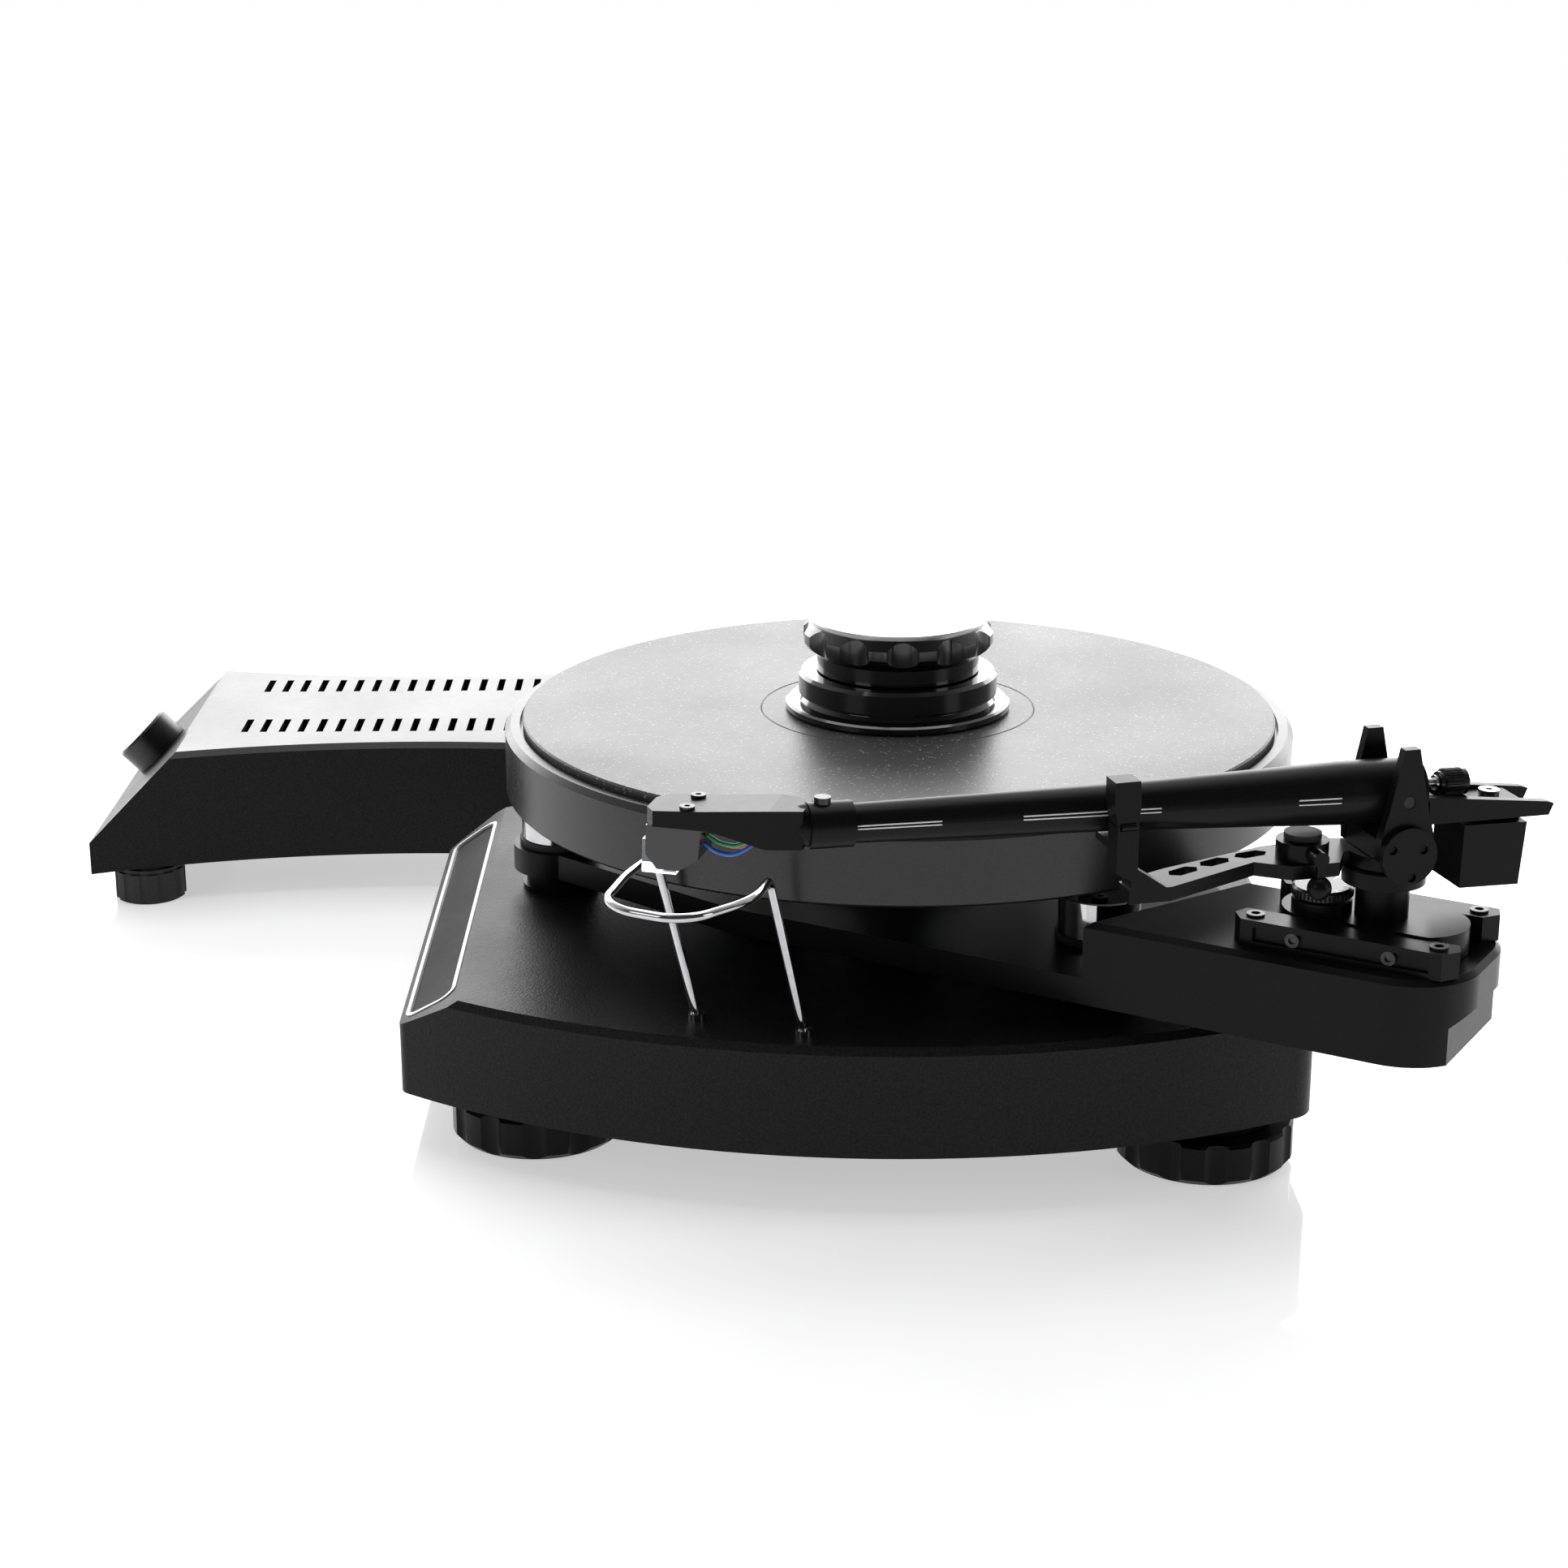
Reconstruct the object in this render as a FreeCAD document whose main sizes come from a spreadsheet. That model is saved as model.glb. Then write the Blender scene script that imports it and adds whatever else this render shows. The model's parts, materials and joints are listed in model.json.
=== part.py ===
"""Belt-drive turntable with a nine-inch tonearm and its separate speed controller.

Millimetres, +Z up, standing surface at z = 0. The long front slope of the deck faces -Y and the
tonearm stands at the rear right (+X, +Y). Positions are given from the spindle axis; spindle_x and
spindle_y then move everything so that the whole set is centred on the origin.
"""
import FreeCAD, Part
import math
import os

import Sketcher

V = FreeCAD.Vector
doc = FreeCAD.newDocument("Turntable")

# --------------------------------------------------------------------------- driving dimensions
SIZES = {
    # spindle axis from the origin; both are set at the end, once the whole set can be measured
    "spindle_x": 0, "spindle_y": 0,
    # plinth
    "base_half_width": 155.8, "side_bow_radius": 292, "base_front": 177, "base_rear": 137,
    "base_under": 20, "base_thick": 38.8, "nose_run": 22, "nose_drop": 13.8, "base_corner": 12,
    "base_edge": 2.4, "plate_half_length": 94, "plate_depth": 21, "plate_thick": 1.6, "plate_corner": 6,
    "border_width": 1.6, "border_proud": 0.4,
    # feet
    "foot_radius": 30.7, "foot_height": 15.4, "foot_lift": 0.8, "foot_front_x": 82.6,
    "foot_front_y": 130, "foot_rear_x": 108, "foot_rear_y": 102, "flute_radius": 13,
    "flute_depth": 1.8, "stud_radius": 6, "foot_disc_radius": 23, "pad_radius": 24, "pad_thick": 2.4,
    # suspended sub-chassis and its three posts
    "post_gap": 8.1, "chassis_thick": 9.4, "lobe_radius": 17.7, "lobe_front_x": -11.7,
    "lobe_front_y": -126.3, "lobe_right_x": 95.7, "lobe_right_y": 65.1, "lobe_left_x": -104,
    "lobe_left_y": 60, "pillar_radius": 13.1, "cup_radius": 14.4, "cup_height": 15.6,
    "cup_wall": 1.6, "ring_thick": 2.4, "web_right_x": 65.6, "web_right_y": -62,
    # arm board, in the arm-base frame whose origin is the arm pivot
    "pivot_x": 156.2, "pivot_y": 148.3, "board_angle": 58.6, "board_near": 32.2, "board_far": 34,
    "board_rear": 36, "board_front": 90.1, "board_step": 59.2, "board_corner": 24,
    "board_top": 95.8, "board_edge": 1.8, "board_undercut": 4.5,
    # main bearing and platter
    "housing_radius": 19, "flange_radius": 34, "shaft_radius": 8, "running_gap": 0.05,
    "seat_gap": 0.1, "spindle_radius": 3.6, "spindle_proud": 16, "ball_radius": 4,
    "platter_radius": 144.6, "platter_under": 103.8, "platter_thick": 25, "rim_width": 5.4,
    "rim_edge": 2, "mat_radius": 138, "mat_thick": 5, "mat_proud": 2.8, "label_radius": 50.3,
    "hub_radius": 75, "hub_thick": 14.3, "groove_radius": 73.5, "groove_height": 5,
    # motor and belt
    "motor_x": -98, "motor_y": -48, "motor_radius": 22, "motor_height": 50, "motor_sink": 22.8,
    "motor_shaft": 2.5, "pulley_radius": 10, "pulley_groove": 9, "belt_thick": 1, "belt_gap": 0.2,
    # record clamp
    "clamp_flange": 41.2, "clamp_ring": 36.5, "clamp_neck": 29.8, "knob_radius": 35,
    "cap_radius": 31.5, "clamp_height": 34.3, "cap_thick": 1.6, "scallop_radius": 9,
    "scallop_depth": 2.6,
    # stylus guard wire on the plinth
    "wire_radius": 1.5, "wire_height": 58,
    # arm base
    "rail_length": 75, "rail_middle": -4.5, "rail_inner": 14.5, "rail_outer": 25.5,
    "rail_height": 8.8, "carriage_length": 61, "carriage_gap": 0.25, "carriage_thick": 9.2,
    "carriage_middle": -2, "carriage_play": 8, "column_radius": 8.6, "column_flange": 13.4, "column_top": 122.8,
    "flange_thick": 5.8, "dial_radius": 9.8, "dial_space": 0, "dial_v": -5, "dial_height": 8.4,
    # rest bracket, lift and latch, in the arm frame
    "bracket_thick": 4.6, "rest_reach": 88, "rest_post_n": 8.7, "rest_post_depth": 8,
    "lift_s": 29, "lift_radius": 8.4, "cue_ball": 3.9,
    # arm
    "arm_angle": -75.7, "arm_rise": 1.4, "bearing_z": 147, "tube_root": 10.2, "tube_waist": 7.6,
    "tube_tip": 6.1, "tube_length": 182, "tube_wall": 1.2, "head_angle": -29, "head_start": 190,
    "head_length": 51, "head_width": 19, "stylus_reach": 46, "cartridge_drop": 16,
    "yoke_inner": 11.2, "yoke_plate": 3.6, "yoke_top": 164.5, "cover_radius": 9.4,
    "cover_thick": 2.4, "pin_radius": 2, "rear_reach": 52, "weight_length": 22,
    "weight_half": 10, "weight_height": 21, "screw_radius": 1.5, "wheel_radius": 4.2,
    # speed controller
    "case_near": -177.5, "case_far": -285, "case_bow": 380, "case_front": -337, "case_rear": -63,
    "case_under": 16, "case_top": 67, "case_slope": 37, "case_wall": 3, "case_foot_radius": 15,
    "vent_pitch": 8.2, "vent_width": 3, "vent_length": 20, "dial_knob_radius": 13.5,
    "dial_knob_height": 13,
}

sheet = doc.addObject("Spreadsheet::Sheet", "Sizes")
for row, (alias, number) in enumerate(SIZES.items(), start=1):
    sheet.set(f"A{row}", alias)
    sheet.set(f"B{row}", str(number))
    sheet.setAlias(f"B{row}", alias)
doc.recompute()


class Size:
    """A length or angle together with the spreadsheet formula that gives it."""

    def __init__(self, value, text):
        self.value = value
        self.text = text

    def __add__(self, other):
        other = as_size(other)
        return Size(self.value + other.value, f"({self.text} + {other.text})")

    def __sub__(self, other):
        other = as_size(other)
        return Size(self.value - other.value, f"({self.text} - {other.text})")

    def __mul__(self, other):
        other = as_size(other)
        return Size(self.value * other.value, f"({self.text} * {other.text})")

    def __truediv__(self, other):
        other = as_size(other)
        return Size(self.value / other.value, f"({self.text} / {other.text})")

    def __neg__(self):
        return Size(-self.value, f"(0 - {self.text})")

    __radd__ = __add__
    __rmul__ = __mul__

    def __rsub__(self, other):
        return as_size(other) - self


def as_size(number):
    return number if isinstance(number, Size) else Size(float(number), repr(float(number)))


def cell(alias):
    return Size(float(sheet.get(alias)), f"Sizes.{alias}")


def root(size):
    return Size(math.sqrt(size.value), f"sqrt({size.text})")


def cosine(size):
    return Size(math.cos(math.radians(size.value)), f"cos({size.text})")


def sine(size):
    return Size(math.sin(math.radians(size.value)), f"sin({size.text})")


S = {alias: cell(alias) for alias in SIZES}


def bind(item, prop, size):
    """Set a property now and tie it to the spreadsheet."""
    size = as_size(size)
    setattr(item, prop, size.value)
    item.setExpression(prop, size.text)


u_x, u_y = cosine(S["board_angle"]), sine(S["board_angle"])


# --------------------------------------------------------------------------- placing and building
def local(item, x=0, y=0, z=0, rotation=None):
    """Put a piece inside its own assembly's frame, with its position tied to the spreadsheet."""
    base = [as_size(x), as_size(y), as_size(z)]
    item.Placement = FreeCAD.Placement(V(*[b.value for b in base]), rotation or FreeCAD.Rotation())
    for axis, size in zip("xyz", base):
        item.setExpression(f".Placement.Base.{axis}", size.text)
    return item


def place(item, x=0, y=0, z=0, rotation=None):
    """Put a finished piece at a point measured from the spindle axis on the standing surface."""
    return local(item, as_size(x) + S["spindle_x"], as_size(y) + S["spindle_y"], z, rotation)


def carry(item, origin, turn, offset=(0, 0, 0), spin=None):
    """Put a piece at an offset inside a frame that has its own origin and turn."""
    axes = [turn.multVec(V(*axis)) for axis in ((1, 0, 0), (0, 1, 0), (0, 0, 1))]
    base = []
    for index, start in enumerate(origin):
        total = as_size(start)
        for axis, step in zip(axes, offset):
            if as_size(step).value:
                total = total + as_size(step) * axis[index]
        base.append(total)
    return place(item, *base, rotation=turn.multiply(spin) if spin else turn)


def deck(item, z=0):
    return place(item, z=z)


def at_board(item, z=0):
    """The arm-board frame: its origin on the arm pivot, x along the board."""
    return place(item, S["pivot_x"], S["pivot_y"], z, FreeCAD.Rotation(S["board_angle"].value, 0, 0))


def pivot():
    return S["pivot_x"], S["pivot_y"], S["bearing_z"]


def at_arm(item, s=0, n=0, z=0):
    """The swinging frame: s towards the stylus, n towards the deck's right, level."""
    return carry(item, pivot(), FreeCAD.Rotation(S["arm_angle"].value, 0, 0), (s, n, z))


def at_tube(item, s=0, n=0, z=0):
    """The tube's own frame, which also rises towards the headshell."""
    return carry(item, pivot(), arm_rotation(), (s, n, z))


def arm_rotation():
    return FreeCAD.Rotation(S["arm_angle"].value, -S["arm_rise"].value, 0)


def at_head(item, s=0, n=0, z=0):
    """The headshell's frame, turned inwards about the end of the tube."""
    along = arm_rotation().multVec(V(1, 0, 0))
    start = [at + S["head_start"] * along[index] for index, at in enumerate(pivot())]
    turn = arm_rotation().multiply(FreeCAD.Rotation(S["head_angle"].value, 0, 0))
    return carry(item, start, turn, (s, n, z))


def new(kind, label):
    item = doc.addObject(kind, label)
    item.Label = label
    return item


counter = {"n": 0}


def helper_name(word):
    counter["n"] += 1
    return f"{word}_{counter['n']}"


def cylinder(radius, height, x=0, y=0, z=0, rotation=None, label=None):
    item = new("Part::Cylinder", label or helper_name("cylinder"))
    bind(item, "Radius", radius)
    bind(item, "Height", height)
    return local(item, x, y, z, rotation)


def block(length, width, height, x=0, y=0, z=0, rotation=None, label=None):
    """A box centred on x and y, standing on z."""
    item = new("Part::Box", label or helper_name("block"))
    bind(item, "Length", length)
    bind(item, "Width", width)
    bind(item, "Height", height)
    return local(item, as_size(x) - as_size(length) / 2, as_size(y) - as_size(width) / 2, z, rotation)


def ball(radius, x=0, y=0, z=0, label=None):
    item = new("Part::Sphere", label or helper_name("ball"))
    bind(item, "Radius", radius)
    return local(item, x, y, z)


def fused(label, shapes):
    item = new("Part::MultiFuse", label)
    item.Shapes = shapes
    item.Refine = True
    return item


def wrapped(item):
    """Hold one piece so that its group can take a frame of its own."""
    group = new("Part::Compound", helper_name("group"))
    group.Links = [item]
    return group


def renamed(item, label):
    item.Label = label
    return item


def cut(label, base, tools):
    item = new("Part::Cut", label)
    item.Base = base
    item.Tool = tools[0] if len(tools) == 1 else fused(helper_name("tools"), tools)
    item.Refine = True
    return item


def origin_plane(body, role):
    return [part for part in body.Origin.OriginFeatures if part.Role == role][0]


def sketch(body, role, points, bows=None):
    """A closed outline. bows gives the radius of the arc that leaves a point: positive is convex."""
    bows = bows or {}
    item = body.newObject("Sketcher::SketchObject", helper_name("outline"))
    item.AttachmentSupport = (origin_plane(body, role), [""])
    item.MapMode = "FlatFace"
    points = [(as_size(x), as_size(y)) for x, y in points]
    starts, ends = [], []
    for index, point in enumerate(points):
        after = points[(index + 1) % len(points)]
        a, b = V(point[0].value, point[1].value, 0), V(after[0].value, after[1].value, 0)
        if index in bows:
            convex = bows[index].value > 0
            radius = abs(bows[index].value)
            chord = b - a
            side = V(-chord.y, chord.x, 0).normalize() * (1 if convex else -1)
            centre = (a + b) * 0.5 + side * math.sqrt(radius ** 2 - chord.Length ** 2 / 4)
            first, last = (a, b) if convex else (b, a)
            angles = [math.atan2(p.y - centre.y, p.x - centre.x) for p in (first, last)]
            circle = Part.Circle(centre, V(0, 0, 1), radius)
            item.addGeometry(Part.ArcOfCircle(circle, *angles))
            starts.append(1 if convex else 2)
            ends.append(2 if convex else 1)
        else:
            item.addGeometry(Part.LineSegment(a, b))
            starts.append(1)
            ends.append(2)
    count = len(points)
    for index in range(count):
        after = (index + 1) % count
        item.addConstraint(Sketcher.Constraint("Coincident", index, ends[index], after, starts[after]))
    for index, point in enumerate(points):
        for kind, size, axis in (("DistanceX", point[0], -2), ("DistanceY", point[1], -1)):
            if abs(size.value) < 1e-9:
                item.addConstraint(Sketcher.Constraint("PointOnObject", index, starts[index], axis))
                continue
            number = item.addConstraint(
                Sketcher.Constraint(kind, -1, 1, index, starts[index], size.value))
            item.setExpression(f"Constraints[{number}]", size.text)
    for index, radius in bows.items():
        number = item.addConstraint(Sketcher.Constraint("Radius", index, abs(radius.value)))
        item.setExpression(f"Constraints[{number}]", (radius if radius.value > 0 else -radius).text)
    return item


def slab(label, points, thick, bows=None, role="XY_Plane", middle=False):
    """A flat piece: an outline padded up from its plane, or both ways from it."""
    body = new("PartDesign::Body", label)
    pad = body.newObject("PartDesign::Pad", helper_name("pad"))
    pad.Profile = sketch(body, role, points, bows)
    bind(pad, "Length", thick)
    pad.Midplane = middle
    body.Tip = pad
    return body


def turned(label, points, bows=None):
    """A lathe part: (radius, height) points turned about the vertical."""
    body = new("PartDesign::Body", label)
    profile = sketch(body, "XZ_Plane", points, bows)
    spin = body.newObject("PartDesign::Revolution", helper_name("turn"))
    spin.Profile = profile
    spin.ReferenceAxis = (profile, ["V_Axis"])
    spin.Angle = 360
    body.Tip = spin
    return body


def edge_names(shape, test):
    return [f"Edge{number}" for number, edge in enumerate(shape.Edges, start=1) if test(edge)]


def is_upright(edge):
    a, b = edge.firstVertex().Point, edge.lastVertex().Point
    return abs(a.x - b.x) < 1e-6 and abs(a.y - b.y) < 1e-6 and abs(a.z - b.z) > 1e-6


def dress(body, kind, size, test):
    """Add a fillet or chamfer to the edges of the body's tip that pass a test."""
    doc.recompute()
    tip = body.Tip
    item = body.newObject(f"PartDesign::{kind}", helper_name(kind.lower()))
    item.Base = (tip, edge_names(tip.Shape, test))
    bind(item, "Radius" if kind == "Fillet" else "Size", size)
    body.Tip = item
    return body


def corner_near(x, y, reach=1.0):
    """A test for the upright edge at one corner of an outline."""
    def test(edge):
        point = edge.firstVertex().Point
        return is_upright(edge) and math.hypot(point.x - x.value, point.y - y.value) < reach
    return test


def top_rim(height):
    def test(edge):
        return all(abs(vertex.Z - height.value) < 1e-6 for vertex in edge.Vertexes)
    return test


def bent_tube(label, points, bends, radius):
    """Round wire along straight runs joined by tangent arcs, one radius for each bend."""
    points = [V(*[as_size(c).value for c in p]) for p in points]
    edges, last = [], points[0]
    for before, here, after, corner in zip(points, points[1:], points[2:], bends):
        a, b = (before - here).normalize(), (after - here).normalize()
        half = math.acos(max(-1.0, min(1.0, a.dot(b)))) / 2
        back = min(corner / math.tan(half), 0.48 * min((before - here).Length, (after - here).Length))
        bend = back * math.tan(half)
        start, end = here + a * back, here + b * back
        toward = (a + b).normalize()
        middle = here + toward * (bend / math.sin(half) - bend)
        if (start - last).Length > 1e-6:
            edges.append(Part.LineSegment(last, start).toShape())
        edges.append(Part.Arc(start, middle, end).toShape())
        last = end
    edges.append(Part.LineSegment(last, points[-1]).toShape())
    path = Part.Wire(edges)
    ring = Part.Wire([Part.Circle(points[0], points[1] - points[0], radius.value).toShape()])
    item = new("Part::Feature", label)
    item.Shape = path.makePipeShell([ring], True, False)
    return item


def socket_screw(radius, head, length, x, y, z, rotation=None, label=None):
    """A cap screw pointing down from z, with a socket in its head."""
    spin = rotation or FreeCAD.Rotation()
    sink = spin.multVec(V(0, 0, 1))
    body = fused(helper_name("screw_body"), [
        cylinder(head, radius * 1.2, x, y, z, rotation),
        cylinder(radius, length, as_size(x) - length * sink.x, as_size(y) - length * sink.y,
                 as_size(z) - length * sink.z, rotation)])
    depth = 0.4 * radius.value
    socket = cylinder(radius * 0.75, radius * 1.2, as_size(x) + depth * sink.x,
                      as_size(y) + depth * sink.y, as_size(z) + depth * sink.z, rotation)
    return cut(label or helper_name("screw"), body, [socket])


NODES = []


def keep(item):
    NODES.append(item)
    return item


# --------------------------------------------------------------------------- plinth
base_top = S["base_under"] + S["base_thick"]
bow_centre = S["base_half_width"] - S["side_bow_radius"]


def bow_x(y):
    """How far the bowed side stands from the middle at a given distance along it."""
    return bow_centre + root(S["side_bow_radius"] * S["side_bow_radius"] - y * y)


def plinth():
    front_x, rear_x = bow_x(S["base_front"]), bow_x(S["base_rear"])
    corners = [(front_x, -S["base_front"]), (rear_x, S["base_rear"]),
               (-rear_x, S["base_rear"]), (-front_x, -S["base_front"])]
    body = slab("plinth_block", corners, S["base_thick"],
                {0: S["side_bow_radius"], 2: S["side_bow_radius"]})
    for x in (rear_x, -rear_x):
        dress(body, "Fillet", S["base_corner"], corner_near(x, S["base_rear"]))
    for x in (front_x, -front_x):
        dress(body, "Fillet", S["base_corner"] / 2, corner_near(x, -S["base_front"]))
    dress(body, "Chamfer", S["base_edge"], top_rim(S["base_thick"]))
    deck(body, S["base_under"])

    spill = 4
    slope = S["nose_drop"] / S["nose_run"]
    nose = slab("nose_cutter", [
        (-S["base_front"] - spill, base_top - S["nose_drop"] - slope * spill),
        (-S["base_front"] + S["nose_run"] + spill, base_top + slope * spill),
        (-S["base_front"] - spill, base_top + slope * spill)],
        S["base_half_width"] * 2, role="YZ_Plane", middle=True)
    deck(nose)
    pocket = nose_piece(rounded_plate("plate_pocket", as_size(0), S["plate_thick"] + spill),
                        -S["plate_thick"])
    tools = [nose, pocket]
    wells = [
        cylinder(S["housing_radius"] + 5, S["base_thick"] + 2, z=S["base_under"] - 1),
        cylinder(S["motor_radius"] + S["seat_gap"], S["motor_sink"] + 1, S["motor_x"], S["motor_y"],
                 base_top - S["motor_sink"]),
        block(34, 14, 16, 0, S["base_rear"], S["base_under"] + 10)]
    wells += [cylinder(S["stud_radius"] + S["seat_gap"], 21, x, y, S["base_under"] - 1)
              for x, y in foot_places()]
    tools.append(deck(fused("plinth_wells", wells)))
    return keep(cut("base_plate", body, tools))


def plate_outline(inset):
    """The panel on the front slope, a little wider at its upper edge."""
    half, deep = S["plate_half_length"] - inset, S["plate_depth"] / 2 - inset
    return [(-half, -deep), (half, -deep), (half + 5, deep), (-half - 5, deep)]


def rounded_plate(label, inset, thick):
    """The panel's outline padded, with its four corners rounded."""
    body = slab(label, plate_outline(inset), thick)
    return dress(body, "Fillet", S["plate_corner"] - inset, is_upright)


def nose_piece(item, raised):
    """Lay a flat piece on the front slope, raised along the slope's normal."""
    tilt = math.atan2(S["nose_drop"].value, S["nose_run"].value)
    raised = as_size(raised)
    return place(item, 0, -S["base_front"] + S["nose_run"] / 2 - raised * math.sin(tilt),
                 base_top - S["nose_drop"] / 2 + raised * math.cos(tilt),
                 FreeCAD.Rotation(0, 0, math.degrees(tilt)))


def front_panel():
    low = -S["plate_thick"]
    border = rounded_plate("border_blank", as_size(0), S["plate_thick"] + S["border_proud"])
    window = rounded_plate("border_window", S["border_width"], S["plate_thick"] + 4)
    local(window, z=-1)
    keep(nose_piece(cut("front_border", border, [window]), low))
    keep(nose_piece(rounded_plate("front_plate", S["border_width"] + S["seat_gap"] / 2,
                                  S["plate_thick"] * 0.6), low))


def foot_places():
    return [(S["foot_front_x"], -S["foot_front_y"]), (-S["foot_front_x"], -S["foot_front_y"]),
            (S["foot_rear_x"], S["foot_rear_y"]), (-S["foot_rear_x"], S["foot_rear_y"])]


def foot_ring(number, x, y):
    """A fluted levelling ring that turns on its fixed stud."""
    low, high, outer = S["foot_lift"], S["foot_height"], S["foot_radius"]
    bore = S["stud_radius"] + S["running_gap"]
    recess = S["pad_radius"] + 0.6
    body = turned(f"foot_blank_{number}", [
        (bore, S["pad_thick"] + 0.4), (recess, S["pad_thick"] + 0.4), (recess, low),
        (outer - 2, low), (outer, low + 2), (outer, high - 1), (outer - 1, high), (bore, high)])
    flute = body.newObject("PartDesign::Pocket", helper_name("flute"))
    centre = outer + S["flute_radius"] - S["flute_depth"]
    ring = body.newObject("Sketcher::SketchObject", helper_name("flute_outline"))
    ring.AttachmentSupport = (origin_plane(body, "XY_Plane"), [""])
    ring.MapMode = "FlatFace"
    ring.addGeometry(Part.Circle(V(centre.value, 0, 0), V(0, 0, 1), S["flute_radius"].value / 2))
    ring.addConstraint(Sketcher.Constraint("PointOnObject", 0, 3, -1))
    for kind, size in (("DistanceX", centre - S["flute_radius"] / 2), ("Radius", S["flute_radius"] / 2)):
        target = (kind, -1, 1, 0, 3, size.value) if kind == "DistanceX" else (kind, 0, size.value)
        constraint = ring.addConstraint(Sketcher.Constraint(*target))
        ring.setExpression(f"Constraints[{constraint}]", size.text)
    flute.Profile = ring
    flute.Type = "ThroughAll"
    flute.Midplane = True
    pattern = body.newObject("PartDesign::PolarPattern", helper_name("flutes"))
    pattern.Originals = [flute]
    pattern.Axis = (ring, ["N_Axis"])
    pattern.Angle = 360
    pattern.Occurrences = 12
    body.Tip = pattern
    body.Label = f"foot_ring_{number}"
    return keep(place(body, x, y))


def feet():
    studs, pads = [], []
    for number, (x, y) in enumerate(foot_places(), start=1):
        foot_ring(number, x, y)
        studs.append(cylinder(S["stud_radius"], S["base_under"] + 18 - S["pad_thick"], x, y,
                              S["pad_thick"]))
        disc_low = S["foot_height"] + 0.4
        studs.append(cylinder(S["foot_disc_radius"], S["base_under"] - disc_low, x, y, disc_low))
        pads.append(cylinder(S["pad_radius"], S["pad_thick"], x, y, 0))
    keep(deck(fused("foot_studs", studs)))
    keep(deck(fused("foot_pads", pads)))


def power_socket():
    shell = block(34 - 0.2, 6, 16 - 0.2, 0, S["base_rear"] - 4, S["base_under"] + 10.1)
    hole = cylinder(5.5, 8, -8, S["base_rear"] + 1, S["base_under"] + 18, FreeCAD.Rotation(V(1, 0, 0), 90))
    pin = cylinder(1.2, 5.4, -8, S["base_rear"] - 1.2, S["base_under"] + 18, FreeCAD.Rotation(V(1, 0, 0), 90))
    earth = cylinder(3, 4.2, 9, S["base_rear"] + 3, S["base_under"] + 18, FreeCAD.Rotation(V(1, 0, 0), 90))
    plate = cut("socket_blank", shell, [hole])
    keep(deck(fused("power_socket", [plate, pin, earth])))


# --------------------------------------------------------------------------- sub-chassis
chassis_low = base_top + S["post_gap"]
chassis_top = chassis_low + S["chassis_thick"]


def lobes():
    return [(S["lobe_front_x"], S["lobe_front_y"]), (S["lobe_right_x"], S["lobe_right_y"]),
            (S["lobe_left_x"], S["lobe_left_y"])]


def board_outline():
    return [(-S["board_front"], -S["board_near"]), (S["board_rear"], -S["board_near"]),
            (S["board_rear"], S["board_far"]), (-S["board_step"], S["board_far"])]


def board_point(u, v):
    """A point of the arm-board frame, from the spindle axis."""
    return S["pivot_x"] + u * u_x - v * u_y, S["pivot_y"] + u * u_y + v * u_x


def board_slab(label, low, high):
    body = slab(label, board_outline(), high - low)
    for v in (-S["board_near"], S["board_far"]):
        dress(body, "Fillet", S["board_corner"], corner_near(S["board_rear"], v))
    return body


def rear_undercut(label):
    """The space cut away under the board's rear end: upright low down, sloping out above."""
    end = S["board_rear"] - S["board_undercut"]
    step = chassis_top + 3
    cutter = slab(label, [(end, chassis_low - 6), (end + 40, chassis_low - 6), (end + 40, step + 31),
                          (end, step)], 160, role="XZ_Plane", middle=True)
    return at_board(cutter)


def sub_chassis():
    radius = S["lobe_radius"]
    lap = 14
    web = [(S["lobe_front_x"] - radius, S["lobe_front_y"]), (S["lobe_front_x"] + radius, S["lobe_front_y"]),
           (S["web_right_x"], S["web_right_y"]), board_point(-S["board_front"] + lap, -S["board_near"]),
           board_point(-S["board_step"] + lap, S["board_far"]),
           (S["lobe_left_x"] + radius * 0.3, S["lobe_left_y"] + radius * 0.954),
           (S["lobe_left_x"] - radius * 0.9, S["lobe_left_y"] - radius * 0.436)]
    pieces = [deck(slab("chassis_web", web, S["chassis_thick"]), chassis_low)]
    pieces += [place(cylinder(radius, S["chassis_thick"]), x, y, chassis_low)
               for x, y in (lobes()[0], lobes()[2])]
    pieces.append(at_board(board_slab("chassis_tail", chassis_low, chassis_top), chassis_low))
    bore = deck(cylinder(S["housing_radius"] + S["seat_gap"], S["chassis_thick"] + 2), chassis_low - 1)
    lead_way = at_board(cylinder(7, S["chassis_thick"] + 2), chassis_low - 1)
    return keep(cut("sub_chassis", fused("chassis_blank", pieces),
                    [bore, lead_way, rear_undercut("tail_undercut")]))


def arm_board():
    """The thick board under the tonearm, bevelled round its top and undercut at its rear corner."""
    body = board_slab("arm_board_blank", chassis_top, S["board_top"])
    dress(body, "Chamfer", S["board_edge"], top_rim(S["board_top"] - chassis_top))
    at_board(body, chassis_top)
    reach, wide = S["carriage_play"] + 0.5, S["column_radius"] + 0.8
    deep = S["board_top"] - chassis_top + 2
    slot = fused("column_slot", [cylinder(wide, deep, -reach), cylinder(wide, deep, reach),
                                 block(reach * 2, wide * 2, deep)])
    return keep(cut("arm_board", body, [at_board(slot, chassis_top - 1), rear_undercut("board_undercut_tool")]))


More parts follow.
